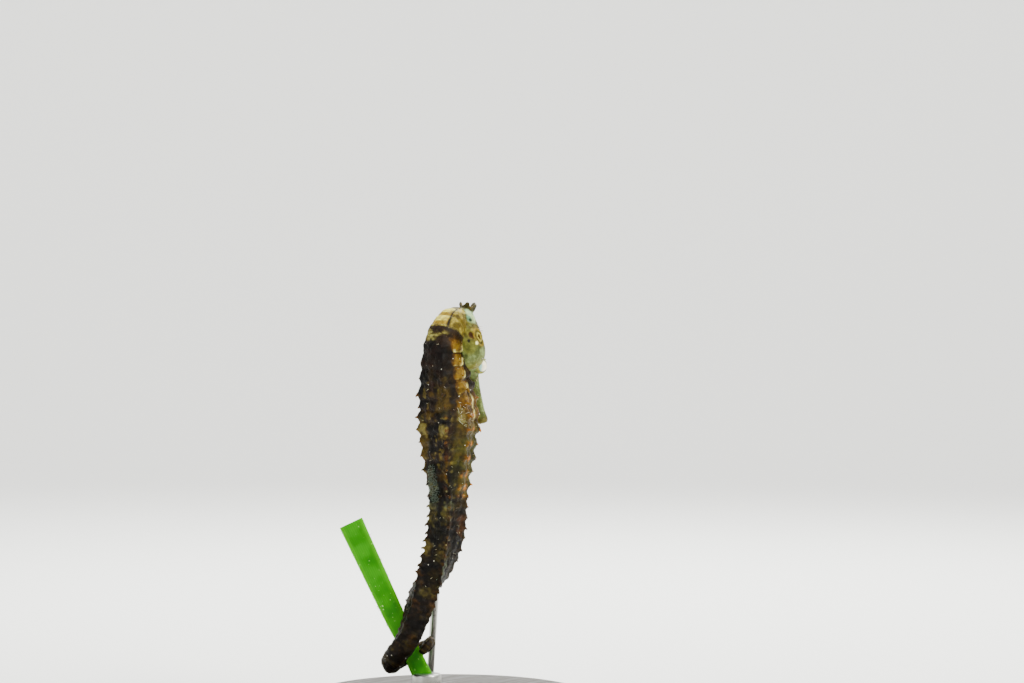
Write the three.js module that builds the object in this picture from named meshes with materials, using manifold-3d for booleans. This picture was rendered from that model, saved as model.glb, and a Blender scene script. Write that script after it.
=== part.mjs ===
// A life-size seahorse whose tail holds a cut blade of seagrass, on a plain display stand.
// Millimetres, +Z up. The belly faces +X and the animal's left is +Y. The origin is the middle
// of the base's underside.
import * as THREE from 'three';
import { mergeVertices } from 'three/addons/utils/BufferGeometryUtils.js';
import Module from 'manifold-3d';

const wasm = await Module();
wasm.setup();

// ---- driving dimensions ------------------------------------------------------------------

const GAP = 0.3; // clear air between two neighbouring solids
const BEND_TURN = THREE.MathUtils.degToRad(50); // the tail swings in a plane turned this far

const TRUNK_RINGS = 11;
const TAIL_RINGS = 37;
const SPINED_TAIL_RINGS = 11; // the rest are too small to model a spine on
const TRUNK_TOP_Z = 94.25;
const TRUNK_END_Z = 56.75;
const TRUNK_SPINE = 0.7; // how far a spine stands off its ridge
const TAIL_SPINE = 0.6;
const TAIL_ROOT_RADIUS = 4.65;
const TAIL_TIP_RADIUS = 0.95;
const GROOVE = 0.03; // how far the skin dips between two rings, as a share of the depth

const HEAD_BACK = new THREE.Vector3(4.8, 0, 100); // the back of the skull, on the head's axis
const HEAD_PITCH = THREE.MathUtils.degToRad(72.5); // how far the snout points below level
const SNOUT_START = 14.6; // along the head's axis, from its back
const HEAD_LENGTH = 28;
const MOUTH_RADIUS = 0.8;
const MOUTH_DEPTH = 1.6;
const FACE_SPINE = { tall: 0.9, radius: 0.75 };

const CROWN_FOOT = new THREE.Vector3(6.4, 0, 100.1); // where the coronet's middle line leaves the skull
const CROWN_LEAN = THREE.MathUtils.degToRad(22);
const CROWN_HEIGHT = 2.3;
const CROWN_RADII = [1.5, 2.1]; // at its foot and at its rim
const PRONG_HEIGHTS = [3.0, 1.7, 1.1, 1.1, 1.7]; // round the rim, from the front
const PRONG_OUT = 1.35;

const GILL = { along: 8.0, up: -2.0, out: 2.9, radii: [4.2, 3.2, 5.0] };

const DORSAL_FIN = { rings: [9.1, 12.0], height: 3.1, half: 0.3 };
const ANAL_FIN = { rings: [10.2, 10.8], edgeRings: [10.3, 11.3], height: 1.5, half: 0.28 };
const PECTORAL_FIN = { top: [0.6, 5.0, 94.6], foot: [1.5, 5.6, 90.6], ray: 2.9, turn: [140, 215] };

const EYE_RADIUS = 1.55;
const EYE_ALONG = 13.1;
const EYE_UP = 0.7;
const EYE_OUT = 2.75;
const TURRET_RADIUS = 2.05;
const TURRET_OUT = 2.25;

const BLADE_TILT = THREE.MathUtils.degToRad(25.3); // how far the blade leans off upright
const BLADE_HEART = { across: -9, z: 15.9 }; // the middle of the tail's turn round the blade
const BLADE_BOTTOM = -9.2; // along the blade, from its heart
const BLADE_TOP = 36;
const BLADE_THICK = 1.2;
const TURN_RUN = [-1.8, 2.5]; // where the straight run behind the blade starts and ends

const BASE_RADIUS = 35;
const BASE_HEIGHT = 6;
const BASE_CHAMFER = 0.8;
const POST_RADIUS = 3.6;
const POST_HEIGHT = 4.6;
const ROD_RADIUS = 0.9;
const ROD_FOOT = { across: -5, near: -9.8, z: BASE_HEIGHT + GAP };
const ROD_TOP = { across: -2.7, near: -0.8, z: 38.5 };

// ---- small tools -------------------------------------------------------------------------

const clamp01 = (x) => Math.min(Math.max(x, 0), 1);

// A smooth step from 0 at a to 1 at b.
function ease(a, b, x) {
  const t = clamp01((x - a) / (b - a));
  return t * t * (3 - 2 * t);
}

// A smooth track through rows of [place, value, value...], as a function of the place.
function track(rows) {
  const slope = (i, j) => {
    const before = rows[Math.max(i - 1, 0)];
    const after = rows[Math.min(i + 1, rows.length - 1)];
    return (after[j] - before[j]) / (after[0] - before[0]);
  };
  return (x) => {
    const last = rows.length - 2;
    const i = Math.min(Math.max(rows.findIndex((row) => row[0] > x) - 1, 0), last);
    const at = rows[rows.length - 1][0] <= x ? last : i;
    const span = rows[at + 1][0] - rows[at][0];
    const t = clamp01((x - rows[at][0]) / span);
    return rows[at].slice(1).map((from, k) => {
      const j = k + 1;
      const to = rows[at + 1][j];
      const bendOut = slope(at, j) * span;
      const bendIn = slope(at + 1, j) * span;
      const straight = from + (to - from) * t * t * (3 - 2 * t);
      return straight + t * (1 - t) * (1 - t) * bendOut - t * t * (1 - t) * bendIn;
    });
  };
}

function volumeOf(position, index) {
  const [a, b, c] = [new THREE.Vector3(), new THREE.Vector3(), new THREE.Vector3()];
  let sum = 0;
  for (let i = 0; i < index.length; i += 3) {
    a.fromArray(position, 3 * index[i]);
    b.fromArray(position, 3 * index[i + 1]);
    c.fromArray(position, 3 * index[i + 2]);
    sum += a.dot(b.cross(c));
  }
  return sum;
}

// A closed body through a row of sections, each a list of as many points, with a fan at each end.
function loft(sections) {
  const count = sections[0].length;
  const position = sections.flat().flatMap((p) => [p.x, p.y, p.z]);
  const index = [];
  for (let i = 0; i + 1 < sections.length; i += 1) {
    for (let k = 0; k < count; k += 1) {
      const a = i * count + k;
      const b = i * count + ((k + 1) % count);
      index.push(a, b, b + count, a, b + count, a + count);
    }
  }
  for (const [first, turned] of [[0, true], [sections.length - 1, false]]) {
    const middle = new THREE.Vector3();
    sections[first].forEach((p) => middle.addScaledVector(p, 1 / count));
    const hub = position.length / 3;
    position.push(middle.x, middle.y, middle.z);
    for (let k = 0; k < count; k += 1) {
      const a = first * count + k;
      const b = first * count + ((k + 1) % count);
      index.push(...(turned ? [hub, b, a] : [hub, a, b]));
    }
  }
  const outward = volumeOf(position, index) > 0;
  const geometry = new THREE.BufferGeometry();
  geometry.setAttribute('position', new THREE.Float32BufferAttribute(position, 3));
  geometry.setIndex(outward ? index : index.reverse());
  return geometry;
}

// The same faces turned round, after a mirroring has turned them inside out.
function flipped(geometry) {
  const turned = geometry.clone();
  turned.setIndex(Array.from(geometry.index.array).reverse());
  return turned;
}

function toSolid(geometry) {
  const bare = geometry.clone();
  bare.deleteAttribute('normal');
  bare.deleteAttribute('uv');
  const merged = mergeVertices(bare, 1e-5);
  return new wasm.Manifold(new wasm.Mesh({
    numProp: 3,
    vertProperties: Float32Array.from(merged.attributes.position.array),
    triVerts: Uint32Array.from(merged.index.array),
  }));
}

function toGeometry(solid) {
  const mesh = solid.getMesh();
  const geometry = new THREE.BufferGeometry();
  geometry.setAttribute('position', new THREE.BufferAttribute(mesh.vertProperties, 3));
  geometry.setIndex(new THREE.BufferAttribute(mesh.triVerts, 1));
  return geometry;
}

const cut = (geometry, ...tools) =>
  toGeometry(tools.reduce((rest, tool) => rest.subtract(toSolid(tool)), toSolid(geometry)));

const join = (geometry, ...more) =>
  toGeometry(more.reduce((whole, piece) => whole.add(toSolid(piece)), toSolid(geometry)));

function ball(centre, radius, around = 18, stretch = [1, 1, 1]) {
  const geometry = new THREE.SphereGeometry(radius, around, Math.round(around * 0.6));
  geometry.scale(...stretch);
  return geometry.translate(centre.x, centre.y, centre.z);
}

const root = new THREE.Group();

function addNode(name, geometry, color, roughness = 0.55, metalness = 0) {
  const material = new THREE.MeshStandardMaterial({ color, roughness, metalness });
  const mesh = new THREE.Mesh(geometry, material);
  mesh.name = name;
  root.add(mesh);
}

// ---- places ------------------------------------------------------------------------------

// The tail's plane: across runs level in it, and near stands square to it.
const ACROSS = new THREE.Vector3(Math.cos(BEND_TURN), -Math.sin(BEND_TURN), 0);
const NEAR = new THREE.Vector3(-Math.sin(BEND_TURN), -Math.cos(BEND_TURN), 0);

const place = (across, near, z) =>
  new THREE.Vector3(0, 0, z).addScaledVector(ACROSS, across).addScaledVector(NEAR, near);

// The blade's own directions: along it, and over its width.
const BLADE_AXIS = place(-Math.sin(BLADE_TILT), 0, Math.cos(BLADE_TILT));
const BLADE_WIDE = place(Math.cos(BLADE_TILT), 0, Math.sin(BLADE_TILT));

const onBlade = (wide, along, near) =>
  place(BLADE_HEART.across, near, BLADE_HEART.z)
    .addScaledVector(BLADE_WIDE, wide)
    .addScaledVector(BLADE_AXIS, along);

// ---- the body's midline ------------------------------------------------------------------

const tailRadius = (share) =>
  TAIL_ROOT_RADIUS - (TAIL_ROOT_RADIUS - TAIL_TIP_RADIUS) * share * share;

// The tail's turn round the blade: half circles at its two edges, joined by a straight run
// behind it. The angle is 0 in front of the blade and 180 degrees behind it.
function turnPoint(degrees, share, along) {
  const angle = THREE.MathUtils.degToRad(degrees);
  const radius = BLADE_THICK / 2 + GAP + 0.1 + 0.93 * tailRadius(share);
  const middle = degrees < 180 ? TURN_RUN[0] : TURN_RUN[1];
  return onBlade(middle - radius * Math.sin(angle), along, radius * Math.cos(angle));
}

const midline = new THREE.CatmullRomCurve3([
  new THREE.Vector3(5.2, 0, 97.0), // inside the skull
  new THREE.Vector3(2.1, 0, 98.2),
  new THREE.Vector3(-0.3, 0, 95.4),
  new THREE.Vector3(-1.1, 0, 91.0),
  new THREE.Vector3(-0.6, 0, 84.5),
  new THREE.Vector3(0.8, 0, 77.0), // the belly
  new THREE.Vector3(0.9, 0, 69.5),
  new THREE.Vector3(0.3, 0, 61.5),
  place(0.05, 0, 54.2), // the root of the tail
  place(-0.2, 0, 48.5),
  place(-1.1, 0.1, 43.0),
  place(-3.4, 0.7, 37.0),
  place(-6.1, 2.0, 31.0),
  place(-8.0, 3.5, 25.0),
  onBlade(0.6, 3.9, 4.1),
  turnPoint(25, 0.62, 1.5),
  turnPoint(65, 0.66, 0.3),
  turnPoint(110, 0.7, -0.2),
  turnPoint(155, 0.74, -0.3),
  turnPoint(205, 0.8, -0.1),
  turnPoint(250, 0.85, 0.5),
  turnPoint(295, 0.9, 0.6),
  turnPoint(340, 0.95, -0.1),
  turnPoint(372, 1, -0.9), // the tip
], false, 'centripetal');
midline.arcLengthDivisions = 3000;
const BODY_LENGTH = midline.getLength();

// How far along the midline the body first comes down to a height, below the neck.
function alongAtHeight(z) {
  const step = 0.02;
  let along = 4;
  while (midline.getPointAt(along / BODY_LENGTH).z > z) {
    along += step;
  }
  return along;
}

const TRUNK_START = alongAtHeight(TRUNK_TOP_Z);
const TAIL_START = alongAtHeight(TRUNK_END_Z);
const TAIL_LENGTH = BODY_LENGTH - TAIL_START;
const RING_LENGTH = (TAIL_START - TRUNK_START) / TRUNK_RINGS;

// The place along the midline of a ring number: below 0 in the neck, then the trunk's rings,
// then the tail's, which shorten evenly towards the tip.
function alongAtRing(ring) {
  if (ring <= TRUNK_RINGS) {
    return TRUNK_START + ring * RING_LENGTH;
  }
  const share = (ring - TRUNK_RINGS) / TAIL_RINGS;
  return TAIL_START + TAIL_LENGTH * share * (1.42 - 0.42 * share);
}

// The body's own directions at a place along it. The back faces -X in the trunk, and turns
// away from the blade where the tail holds it.
function bodyFrame(along) {
  const share = clamp01(along / BODY_LENGTH);
  const point = midline.getPointAt(share);
  const forward = midline.getTangentAt(share);
  const fromBlade = point.clone().sub(onBlade(0, 0, 0));
  fromBlade.addScaledVector(BLADE_AXIS, -fromBlade.dot(BLADE_AXIS));
  fromBlade.addScaledVector(BLADE_WIDE, -0.6 * fromBlade.dot(BLADE_WIDE)).normalize();
  const turned = ease(0.12, 0.6, (along - TAIL_START) / TAIL_LENGTH);
  const back = new THREE.Vector3(-1, 0, 0).lerp(fromBlade, turned);
  back.addScaledVector(forward, -back.dot(forward)).normalize();
  const side = new THREE.Vector3().crossVectors(forward, back).normalize();
  return { point, back, side };
}

const inFrame = (frame, [up, out]) =>
  frame.point.clone().addScaledVector(frame.back, up).addScaledVector(frame.side, out);

// ---- sections of the body ----------------------------------------------------------------

// The trunk's depth from back to belly, by ring number.
const trunkDepth = track([
  [-3, 6.4], [-1.6, 9.2], [0, 11.4], [2.2, 13.4], [4.4, 15.9], [6, 16.6],
  [8, 15.0], [10, 12.3], [11, 10.8],
]);

// The seven ridges of the trunk, as shares of its depth: up towards the back, and out.
const TRUNK_RIDGES = [
  [0.4, 0.26], [0.4, -0.26], [0.04, -0.37], [-0.33, -0.23], [-0.5, 0], [-0.33, 0.23], [0.04, 0.37],
];

const KEEL = 4; // the low ridge down the middle of the belly

// Where those ridges have drawn together at the trunk's last ring, to meet the tail.
const TRUNK_END_RIDGES = [
  [0.32, 0.3], [0.32, -0.3], [0, -0.37], [-0.31, -0.29], [-0.37, 0], [-0.31, 0.29], [0, 0.37],
];

const TAIL_RIDGES = [
  [Math.SQRT1_2, Math.SQRT1_2], [Math.SQRT1_2, -Math.SQRT1_2],
  [-Math.SQRT1_2, -Math.SQRT1_2], [-Math.SQRT1_2, Math.SQRT1_2],
];

// A ridged outline: each ridge has a shoulder on both sides, and the panels between them bulge.
function ridgedOutline(ridges, bulge, spines) {
  const shoulder = 0.2;
  return ridges.flatMap((ridge, k) => {
    const before = ridges[(k + ridges.length - 1) % ridges.length];
    const after = ridges[(k + 1) % ridges.length];
    const blend = (other, share, grow) =>
      ridge.map((value, j) => (value + (other[j] - value) * share) * grow);
    return [
      blend(before, shoulder, 1 - 0.1 * shoulder),
      ridge.map((value) => value * (1 + spines[k])),
      blend(after, shoulder, 1 - 0.1 * shoulder),
      blend(after, 0.5, bulge),
    ];
  });
}

// A softer outline, with two points on each panel between the ridges.
function roundedOutline(ridges, bulge) {
  return ridges.flatMap((ridge, k) => {
    const after = ridges[(k + 1) % ridges.length];
    const blend = (share) => ridge.map((value, j) => (value + (after[j] - value) * share) * bulge);
    return [ridge, blend(1 / 3), blend(2 / 3)];
  });
}

// How far a ring's spine stands out at a place in the ring, where 0.55 is its crest.
const crest = (inRing) => Math.max(0, 1 - Math.abs(inRing - 0.55) / 0.14);

// The trunk's section at a ring number, swollen by extra. The ridges fade into a round neck.
function trunkSection(ring, extra = 0) {
  const depth = trunkDepth(ring)[0];
  const inRing = ring - Math.floor(ring);
  const ridged = ease(-1.6, 0.8, ring);
  const dip = 1 - GROOVE * Math.max(0, 1 - inRing / 0.3, 1 - (1 - inRing) / 0.3);
  const angleOf = ([up, out]) => Math.atan2(out, up);
  const ended = ease(8.5, TRUNK_RINGS, ring);
  const ridges = TRUNK_RIDGES.map((ridge, k) => {
    const round = [0.47 * Math.cos(angleOf(ridge)), 0.41 * Math.sin(angleOf(ridge))];
    return ridge.map((value, j) => {
      const drawn = value + (TRUNK_END_RIDGES[k][j] - value) * ended;
      return round[j] + (drawn - round[j]) * ridged;
    });
  });
  const grown = 0.4 + 0.6 * ease(1, 4, ring);
  const spines = TRUNK_RIDGES.map((_, k) => {
    const tall = Math.floor(ring) % 3 === 0 ? 1.25 : 0.9;
    const share = k === KEEL ? 0.35 : tall;
    return (ridged * grown * share * crest(inRing) * TRUNK_SPINE) / (0.45 * depth);
  });
  const bulge = 1.02 + 0.06 * (1 - ridged);
  return ridgedOutline(ridges, bulge, spines).map(([up, out]) => {
    const size = Math.hypot(up, out) * depth;
    const grow = depth * dip * (1 + extra / size);
    return [up * grow, out * grow];
  });
}

// The tail's section: four ridges that soften where the tail turns round the blade. A plain
// one has no shoulders or spines.
function tailSection(ring, extra = 0, plain = false) {
  const share = (alongAtRing(ring) - TAIL_START) / TAIL_LENGTH;
  const inRing = ring - Math.floor(ring);
  const ridged = 1 - 0.85 * ease(0.42, 0.66, share);
  const dip = 1 - 0.8 * GROOVE * Math.max(0, 1 - inRing / 0.3, 1 - (1 - inRing) / 0.3);
  const size = tailRadius(clamp01(share)) * dip + extra;
  const tall = (Math.floor(ring) - TRUNK_RINGS) % 3 === 0 ? 1.3 : 0.85;
  const spine = (tall * ridged * crest(inRing) * TAIL_SPINE) / TAIL_ROOT_RADIUS;
  const soften = 1 - 0.04 * (1 - ridged);
  const ridges = TAIL_RIDGES.map((ridge) => ridge.map((value) => value * soften));
  const bulge = 1.06 + 0.26 * (1 - ridged);
  const outline = plain
    ? roundedOutline(ridges, 1.04 + 0.13 * (1 - ridged))
    : ridgedOutline(ridges, bulge, [spine, spine, 0.6 * spine, 0.6 * spine]);
  return outline.map((point) => point.map((value) => value * size));
}

const plainTailSection = (ring, extra) => tailSection(ring, extra, true);

// One length of the body between two ring numbers, with its ends drawn in by half a gap.
function bodyLength(from, to, section, steps, extra = 0) {
  const drawIn = GAP / 2 - extra;
  const start = from + drawIn / (alongAtRing(from + 1) - alongAtRing(from));
  const end = to - drawIn / (alongAtRing(to) - alongAtRing(to - 1));
  const stations = [start];
  for (let ring = Math.ceil(from); ring < to; ring += 1) {
    steps.map((step) => ring + step).filter((at) => at > start + 0.1 && at < end - 0.1)
      .forEach((at) => stations.push(at));
  }
  stations.push(end);
  return loft(stations.map((ring) => {
    const frame = bodyFrame(alongAtRing(ring));
    return section(ring, extra).map((point) => inFrame(frame, point));
  }));
}

const SPINED = [0, 0.4, 0.55];
const PLAIN = [0, 0.5];

// ---- the head ----------------------------------------------------------------------------

const HEAD_AXIS = new THREE.Vector3(Math.cos(HEAD_PITCH), 0, -Math.sin(HEAD_PITCH));
const HEAD_UP = new THREE.Vector3(Math.sin(HEAD_PITCH), 0, Math.cos(HEAD_PITCH));

const onHead = (along, up, out) => {
  const point = HEAD_BACK.clone().addScaledVector(HEAD_AXIS, along);
  return point.addScaledVector(HEAD_UP, up).setY(out);
};

// Along the head: its top and its throat above the axis, and half its width.
const headShape = track([
  [-2.2, 1.2, -3.0, 1.0], [-1.2, 2.8, -4.2, 2.7], [1.5, 3.3, -5.0, 4.2], [5, 3.3, -5.6, 5.4],
  [8.5, 2.9, -5.7, 4.9], [11.5, 2.7, -4.5, 3.5], [14, 2.0, -2.3, 2.1], [16.5, 1.4, -1.5, 1.4],
  [21, 1.2, -1.25, 1.15], [25, 1.25, -1.3, 1.2], [27.2, 1.6, -1.6, 1.5], [28, 1.4, -1.4, 1.3],
]);

function headSection(along, extra = 0, count = 24) {
  const [top, bottom, half] = headShape(along);
  const middle = 0.3 * top + 0.35 * bottom;
  return Array.from({ length: count }, (_, k) => {
    const angle = (2 * Math.PI * k) / count;
    const reach = Math.cos(angle) > 0 ? top - middle : middle - bottom;
    const up = middle + (reach + extra) * Math.cos(angle);
    return onHead(along, up, (half + extra) * Math.sin(angle));
  });
}

function headLength(from, to, steps, extra = 0, count = 24) {
  return loft(Array.from({ length: steps + 1 }, (_, i) =>
    headSection(from + ((to - from) * i) / steps, extra, count)));
}

const SIDES = { right: -1, left: 1 };

function eyeCentre(sign) {
  return onHead(EYE_ALONG, EYE_UP, sign * EYE_OUT);
}

const turrets = Object.values(SIDES).map((sign) =>
  ball(onHead(EYE_ALONG, EYE_UP, sign * TURRET_OUT), TURRET_RADIUS, 14));
const sockets = Object.values(SIDES).map((sign) => ball(eyeCentre(sign), EYE_RADIUS + GAP, 14));
const grownHead = headLength(-2.2 - GAP, HEAD_LENGTH, 24, GAP, 20);
const grownTurrets = Object.values(SIDES).map((sign) =>
  ball(onHead(EYE_ALONG, EYE_UP, sign * TURRET_OUT), TURRET_RADIUS + GAP, 12));

const SKIN_COLOR = 0x4a3320;
const HEAD_COLOR = 0x9fae8c;
const FIN_COLOR = 0x6d7a62;

// The small spines of the face: one on the nose, and one on the brow over each eye. Each is the
// upper half of a cone that stands off the head's axis, leaning outwards.
function faceSpine(along, up, out, lean) {
  const spine = new THREE.ConeGeometry(FACE_SPINE.radius, 2 * FACE_SPINE.tall, 6);
  spine.rotateX(Math.PI / 2 + lean).rotateY(HEAD_PITCH);
  const foot = onHead(along, up, out);
  return spine.translate(foot.x, foot.y, foot.z);
}

const faceSpines = [
  faceSpine(12.4, 2.4, 0, 0),
  ...Object.values(SIDES).map((sign) => faceSpine(11.9, 2.3, 2.4 * sign, -0.45 * sign)),
];

const skull = headLength(-2.2, SNOUT_START - GAP / 2, 15, 0, 20);
addNode('head', cut(join(skull, ...turrets, ...faceSpines), ...sockets), HEAD_COLOR, 0.4);

// The mouth: the inner half of a cone whose point lies up the snout.
const mouth = new THREE.ConeGeometry(2 * MOUTH_RADIUS, 2 * MOUTH_DEPTH, 14);
mouth.rotateZ(Math.PI / 2).scale(1, 0.8, 1).rotateY(HEAD_PITCH);
const mouthAt = onHead(HEAD_LENGTH, 0, 0);
mouth.translate(mouthAt.x, mouthAt.y, mouthAt.z);
const snout = headLength(SNOUT_START + GAP / 2, HEAD_LENGTH, 11, 0, 16);
addNode('snout', cut(snout, mouth, ...grownTurrets), HEAD_COLOR, 0.4);

for (const [name, sign] of Object.entries(SIDES)) {
  addNode(`eye_${name}`, ball(eyeCentre(sign), EYE_RADIUS, 15), 0xd8c98a, 0.15);
}

// ---- the neck and the trunk --------------------------------------------------------------

const neck = bodyLength(-3, 0, trunkSection, [0, 0.5]);
addNode('neck', cut(neck, grownHead), 0xcdbf86, 0.5);
const trunkUpper = bodyLength(0, 5, trunkSection, SPINED);
addNode('trunk_upper', cut(trunkUpper, grownHead), SKIN_COLOR);
addNode('trunk_lower', bodyLength(5, TRUNK_RINGS, trunkSection, SPINED), SKIN_COLOR);

// ---- the gill covers ---------------------------------------------------------------------

const grownNeck = bodyLength(-3, 0, trunkSection, [0, 0.5], GAP);
const grownTrunk = bodyLength(0, 5, trunkSection, [0, 0.5], GAP);

for (const [name, sign] of Object.entries(SIDES)) {
  const centre = onHead(GILL.along, GILL.up, sign * GILL.out);
  const cover = ball(new THREE.Vector3(), 1, 14, GILL.radii);
  cover.rotateY(Math.PI / 2 - HEAD_PITCH).translate(centre.x, centre.y, centre.z);
  addNode(`gill_cover_${name}`,
    cut(cover, grownHead, grownNeck, grownTrunk, ...grownTurrets), HEAD_COLOR, 0.35);
}

// ---- the coronet -------------------------------------------------------------------------

// A short column that widens to a rim and leans forwards, with blunt prongs round the rim, the
// front one tallest.
function coronet() {
  const [footRadius, rimRadius] = CROWN_RADII;
  const sunk = 1; // how far it starts inside the skull
  const column = new THREE.CylinderGeometry(rimRadius, footRadius, CROWN_HEIGHT + sunk, 15);
  column.rotateX(Math.PI / 2).translate(0, 0, (CROWN_HEIGHT - sunk) / 2);
  const tilt = THREE.MathUtils.degToRad(9);
  const rooted = 0.5; // how far a prong starts inside the column
  const prongs = PRONG_HEIGHTS.map((tall, k) => {
    const prong = new THREE.CylinderGeometry(0.45, 0.95, tall + rooted, 6).rotateX(Math.PI / 2);
    prong.translate(0, 0, (tall - rooted) / 2).rotateY(tilt);
    const around = (2 * Math.PI * k) / PRONG_HEIGHTS.length;
    return prong.translate(PRONG_OUT, 0, CROWN_HEIGHT).rotateZ(around);
  });
  return join(column, ...prongs).rotateY(CROWN_LEAN)
    .translate(CROWN_FOOT.x, CROWN_FOOT.y, CROWN_FOOT.z);
}

addNode('coronet', cut(coronet(), grownHead, grownNeck), 0x4b4420, 0.6);

// ---- the fins ----------------------------------------------------------------------------

// A thin plate between a root line and an outer edge, both functions of 0 to 1, with an edge
// that is scalloped by its rays. thick is a direction, as long as half the plate's thickness.
function finPlate(rootAt, edgeAt, thick, steps) {
  return loft(Array.from({ length: steps + 1 }, (_, i) => {
    const share = i / steps;
    const rootPoint = rootAt(share);
    const edgePoint = edgeAt(share, i % 2 === 0 ? 1 : 0.9);
    return [
      rootPoint.clone().add(thick), edgePoint.clone().addScaledVector(thick, 0.84),
      edgePoint.clone().addScaledVector(thick, -0.84), rootPoint.clone().sub(thick),
    ];
  }));
}

// A point on the body's middle plane, off its back or its belly.
function onBack(ring, up) {
  const back = (0.41 - 0.08 * ease(8.5, TRUNK_RINGS, ring)) * trunkDepth(ring)[0];
  return inFrame(bodyFrame(alongAtRing(ring)), [back + up, 0]);
}

function onBelly(ring, up) {
  const belly = (0.5 - 0.12 * ease(8.5, TRUNK_RINGS, ring)) * trunkDepth(ring)[0];
  return inFrame(bodyFrame(alongAtRing(ring)), [-(belly + up), 0]);
}

const { lerp } = THREE.MathUtils;

addNode('dorsal_fin', finPlate(
  (share) => onBack(lerp(...DORSAL_FIN.rings, share), GAP + 0.15),
  (share, ray) => {
    const rise = DORSAL_FIN.height * Math.sin(Math.PI * (0.12 + 0.78 * share)) ** 0.6;
    return onBack(lerp(...DORSAL_FIN.rings, share) + 0.2, 0.7 + ray * rise);
  },
  new THREE.Vector3(0, DORSAL_FIN.half, 0),
  14,
), FIN_COLOR, 0.3);

addNode('anal_fin', finPlate(
  (share) => onBelly(lerp(...ANAL_FIN.rings, share), GAP + 0.2),
  (share, ray) => {
    const rise = ANAL_FIN.height * Math.sin(Math.PI * (0.2 + 0.6 * share));
    return onBelly(lerp(...ANAL_FIN.edgeRings, share), 0.9 + ray * rise);
  },
  new THREE.Vector3(0, ANAL_FIN.half, 0),
  6,
), FIN_COLOR, 0.3);

// The fan behind each gill cover, laid back along the shoulder.
for (const [name, sign] of Object.entries(SIDES)) {
  const top = new THREE.Vector3(...PECTORAL_FIN.top);
  const foot = new THREE.Vector3(...PECTORAL_FIN.foot);
  const rootAt = (share) => top.clone().lerp(foot, share);
  const edgeAt = (share, ray) => {
    const angle = THREE.MathUtils.degToRad(lerp(...PECTORAL_FIN.turn, share));
    const reach = PECTORAL_FIN.ray * ray * (0.8 + 0.2 * Math.sin(Math.PI * share));
    const out = new THREE.Vector3(Math.cos(angle), 0.06, Math.sin(angle));
    return rootAt(share).addScaledVector(out, reach);
  };
  const fan = finPlate(rootAt, edgeAt, new THREE.Vector3(0, 0.3, 0), 10).scale(1, sign, 1);
  addNode(`pectoral_fin_${name}`,
    cut(sign < 0 ? flipped(fan) : fan, grownTrunk, grownNeck, grownHead), FIN_COLOR, 0.3);
}

// ---- the tail ----------------------------------------------------------------------------

const TAIL_CUTS = [0, 6, 11, 16, 21, 25, 29, 33, TAIL_RINGS];
TAIL_CUTS.slice(0, -1).forEach((from, k) => {
  const to = TAIL_CUTS[k + 1];
  const name = to === TAIL_RINGS ? 'tail_tip' : `tail_${k + 1}`;
  const [section, steps] = to <= SPINED_TAIL_RINGS ? [tailSection, SPINED] : [plainTailSection, PLAIN];
  addNode(name, bodyLength(TRUNK_RINGS + from, TRUNK_RINGS + to, section, steps), SKIN_COLOR);
});

// ---- the perch: a cut length of a seagrass blade -----------------------------------------

const bladeHalfWidth = track([[-10, 2.5], [-3, 2.35], [0, 2.2], [4, 2.3], [9, 2.6], [36, 3.1]]);

function blade(extra = 0) {
  const steps = 15;
  const section = (along) => {
    const half = bladeHalfWidth(along)[0] + extra;
    const thick = BLADE_THICK / 2 + extra;
    const shape = [[-1, 0.35], [-0.4, 0.9], [0, 1], [0.4, 0.9], [1, 0.35]];
    const bow = -0.0016 * Math.max(0, along - 6) ** 2;
    const front = shape.map(([wide, deep]) => onBlade(wide * half, along, bow + deep * thick));
    const rear = shape.map(([wide, deep]) => onBlade(wide * half, along, bow - deep * thick));
    return [...front, ...rear.reverse()];
  };
  return loft(Array.from({ length: steps + 1 }, (_, i) =>
    section(THREE.MathUtils.lerp(BLADE_BOTTOM - extra, BLADE_TOP, i / steps))));
}

addNode('perch_blade', blade(), 0x3f9a10, 0.4);

// ---- the stand ---------------------------------------------------------------------------

const baseOutline = [
  [0, 0], [BASE_RADIUS - BASE_CHAMFER, 0], [BASE_RADIUS, BASE_CHAMFER],
  [BASE_RADIUS, BASE_HEIGHT - BASE_CHAMFER], [BASE_RADIUS - BASE_CHAMFER, BASE_HEIGHT],
  [0, BASE_HEIGHT],
].map(([x, y]) => new THREE.Vector2(x, y));
addNode('stand_base', new THREE.LatheGeometry(baseOutline, 40).rotateX(Math.PI / 2), 0x17130f, 0.35);

const postFoot = onBlade(0, (BASE_HEIGHT + 2 - BLADE_HEART.z) / Math.cos(BLADE_TILT), 0);
const postOutline = [
  [0, 0], [POST_RADIUS, 0], [POST_RADIUS, POST_HEIGHT - 0.8], [POST_RADIUS - 0.8, POST_HEIGHT],
  [0, POST_HEIGHT],
].map(([x, y]) => new THREE.Vector2(x, y));
const post = new THREE.LatheGeometry(postOutline, 20).rotateX(Math.PI / 2);
post.translate(postFoot.x, postFoot.y, BASE_HEIGHT + GAP);
addNode('stand_post', cut(post, blade(GAP)), 0x9a9a96, 0.3, 1);

const rodFoot = place(ROD_FOOT.across, ROD_FOOT.near, ROD_FOOT.z);
const rodTop = place(ROD_TOP.across, ROD_TOP.near, ROD_TOP.z);
const rodRing = (centre) => Array.from({ length: 16 }, (_, k) => {
  const angle = (2 * Math.PI * k) / 16;
  const offset = new THREE.Vector3(Math.cos(angle), Math.sin(angle), 0);
  return centre.clone().addScaledVector(offset, ROD_RADIUS);
});
const rod = loft([rodRing(rodFoot), rodRing(rodTop)]);
const grownTail = bodyLength(TRUNK_RINGS + 2, TRUNK_RINGS + 19, tailSection, SPINED, GAP);
addNode('stand_rod', cut(rod, grownTail), 0x9a9a96, 0.3, 1);

export default root;
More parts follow.
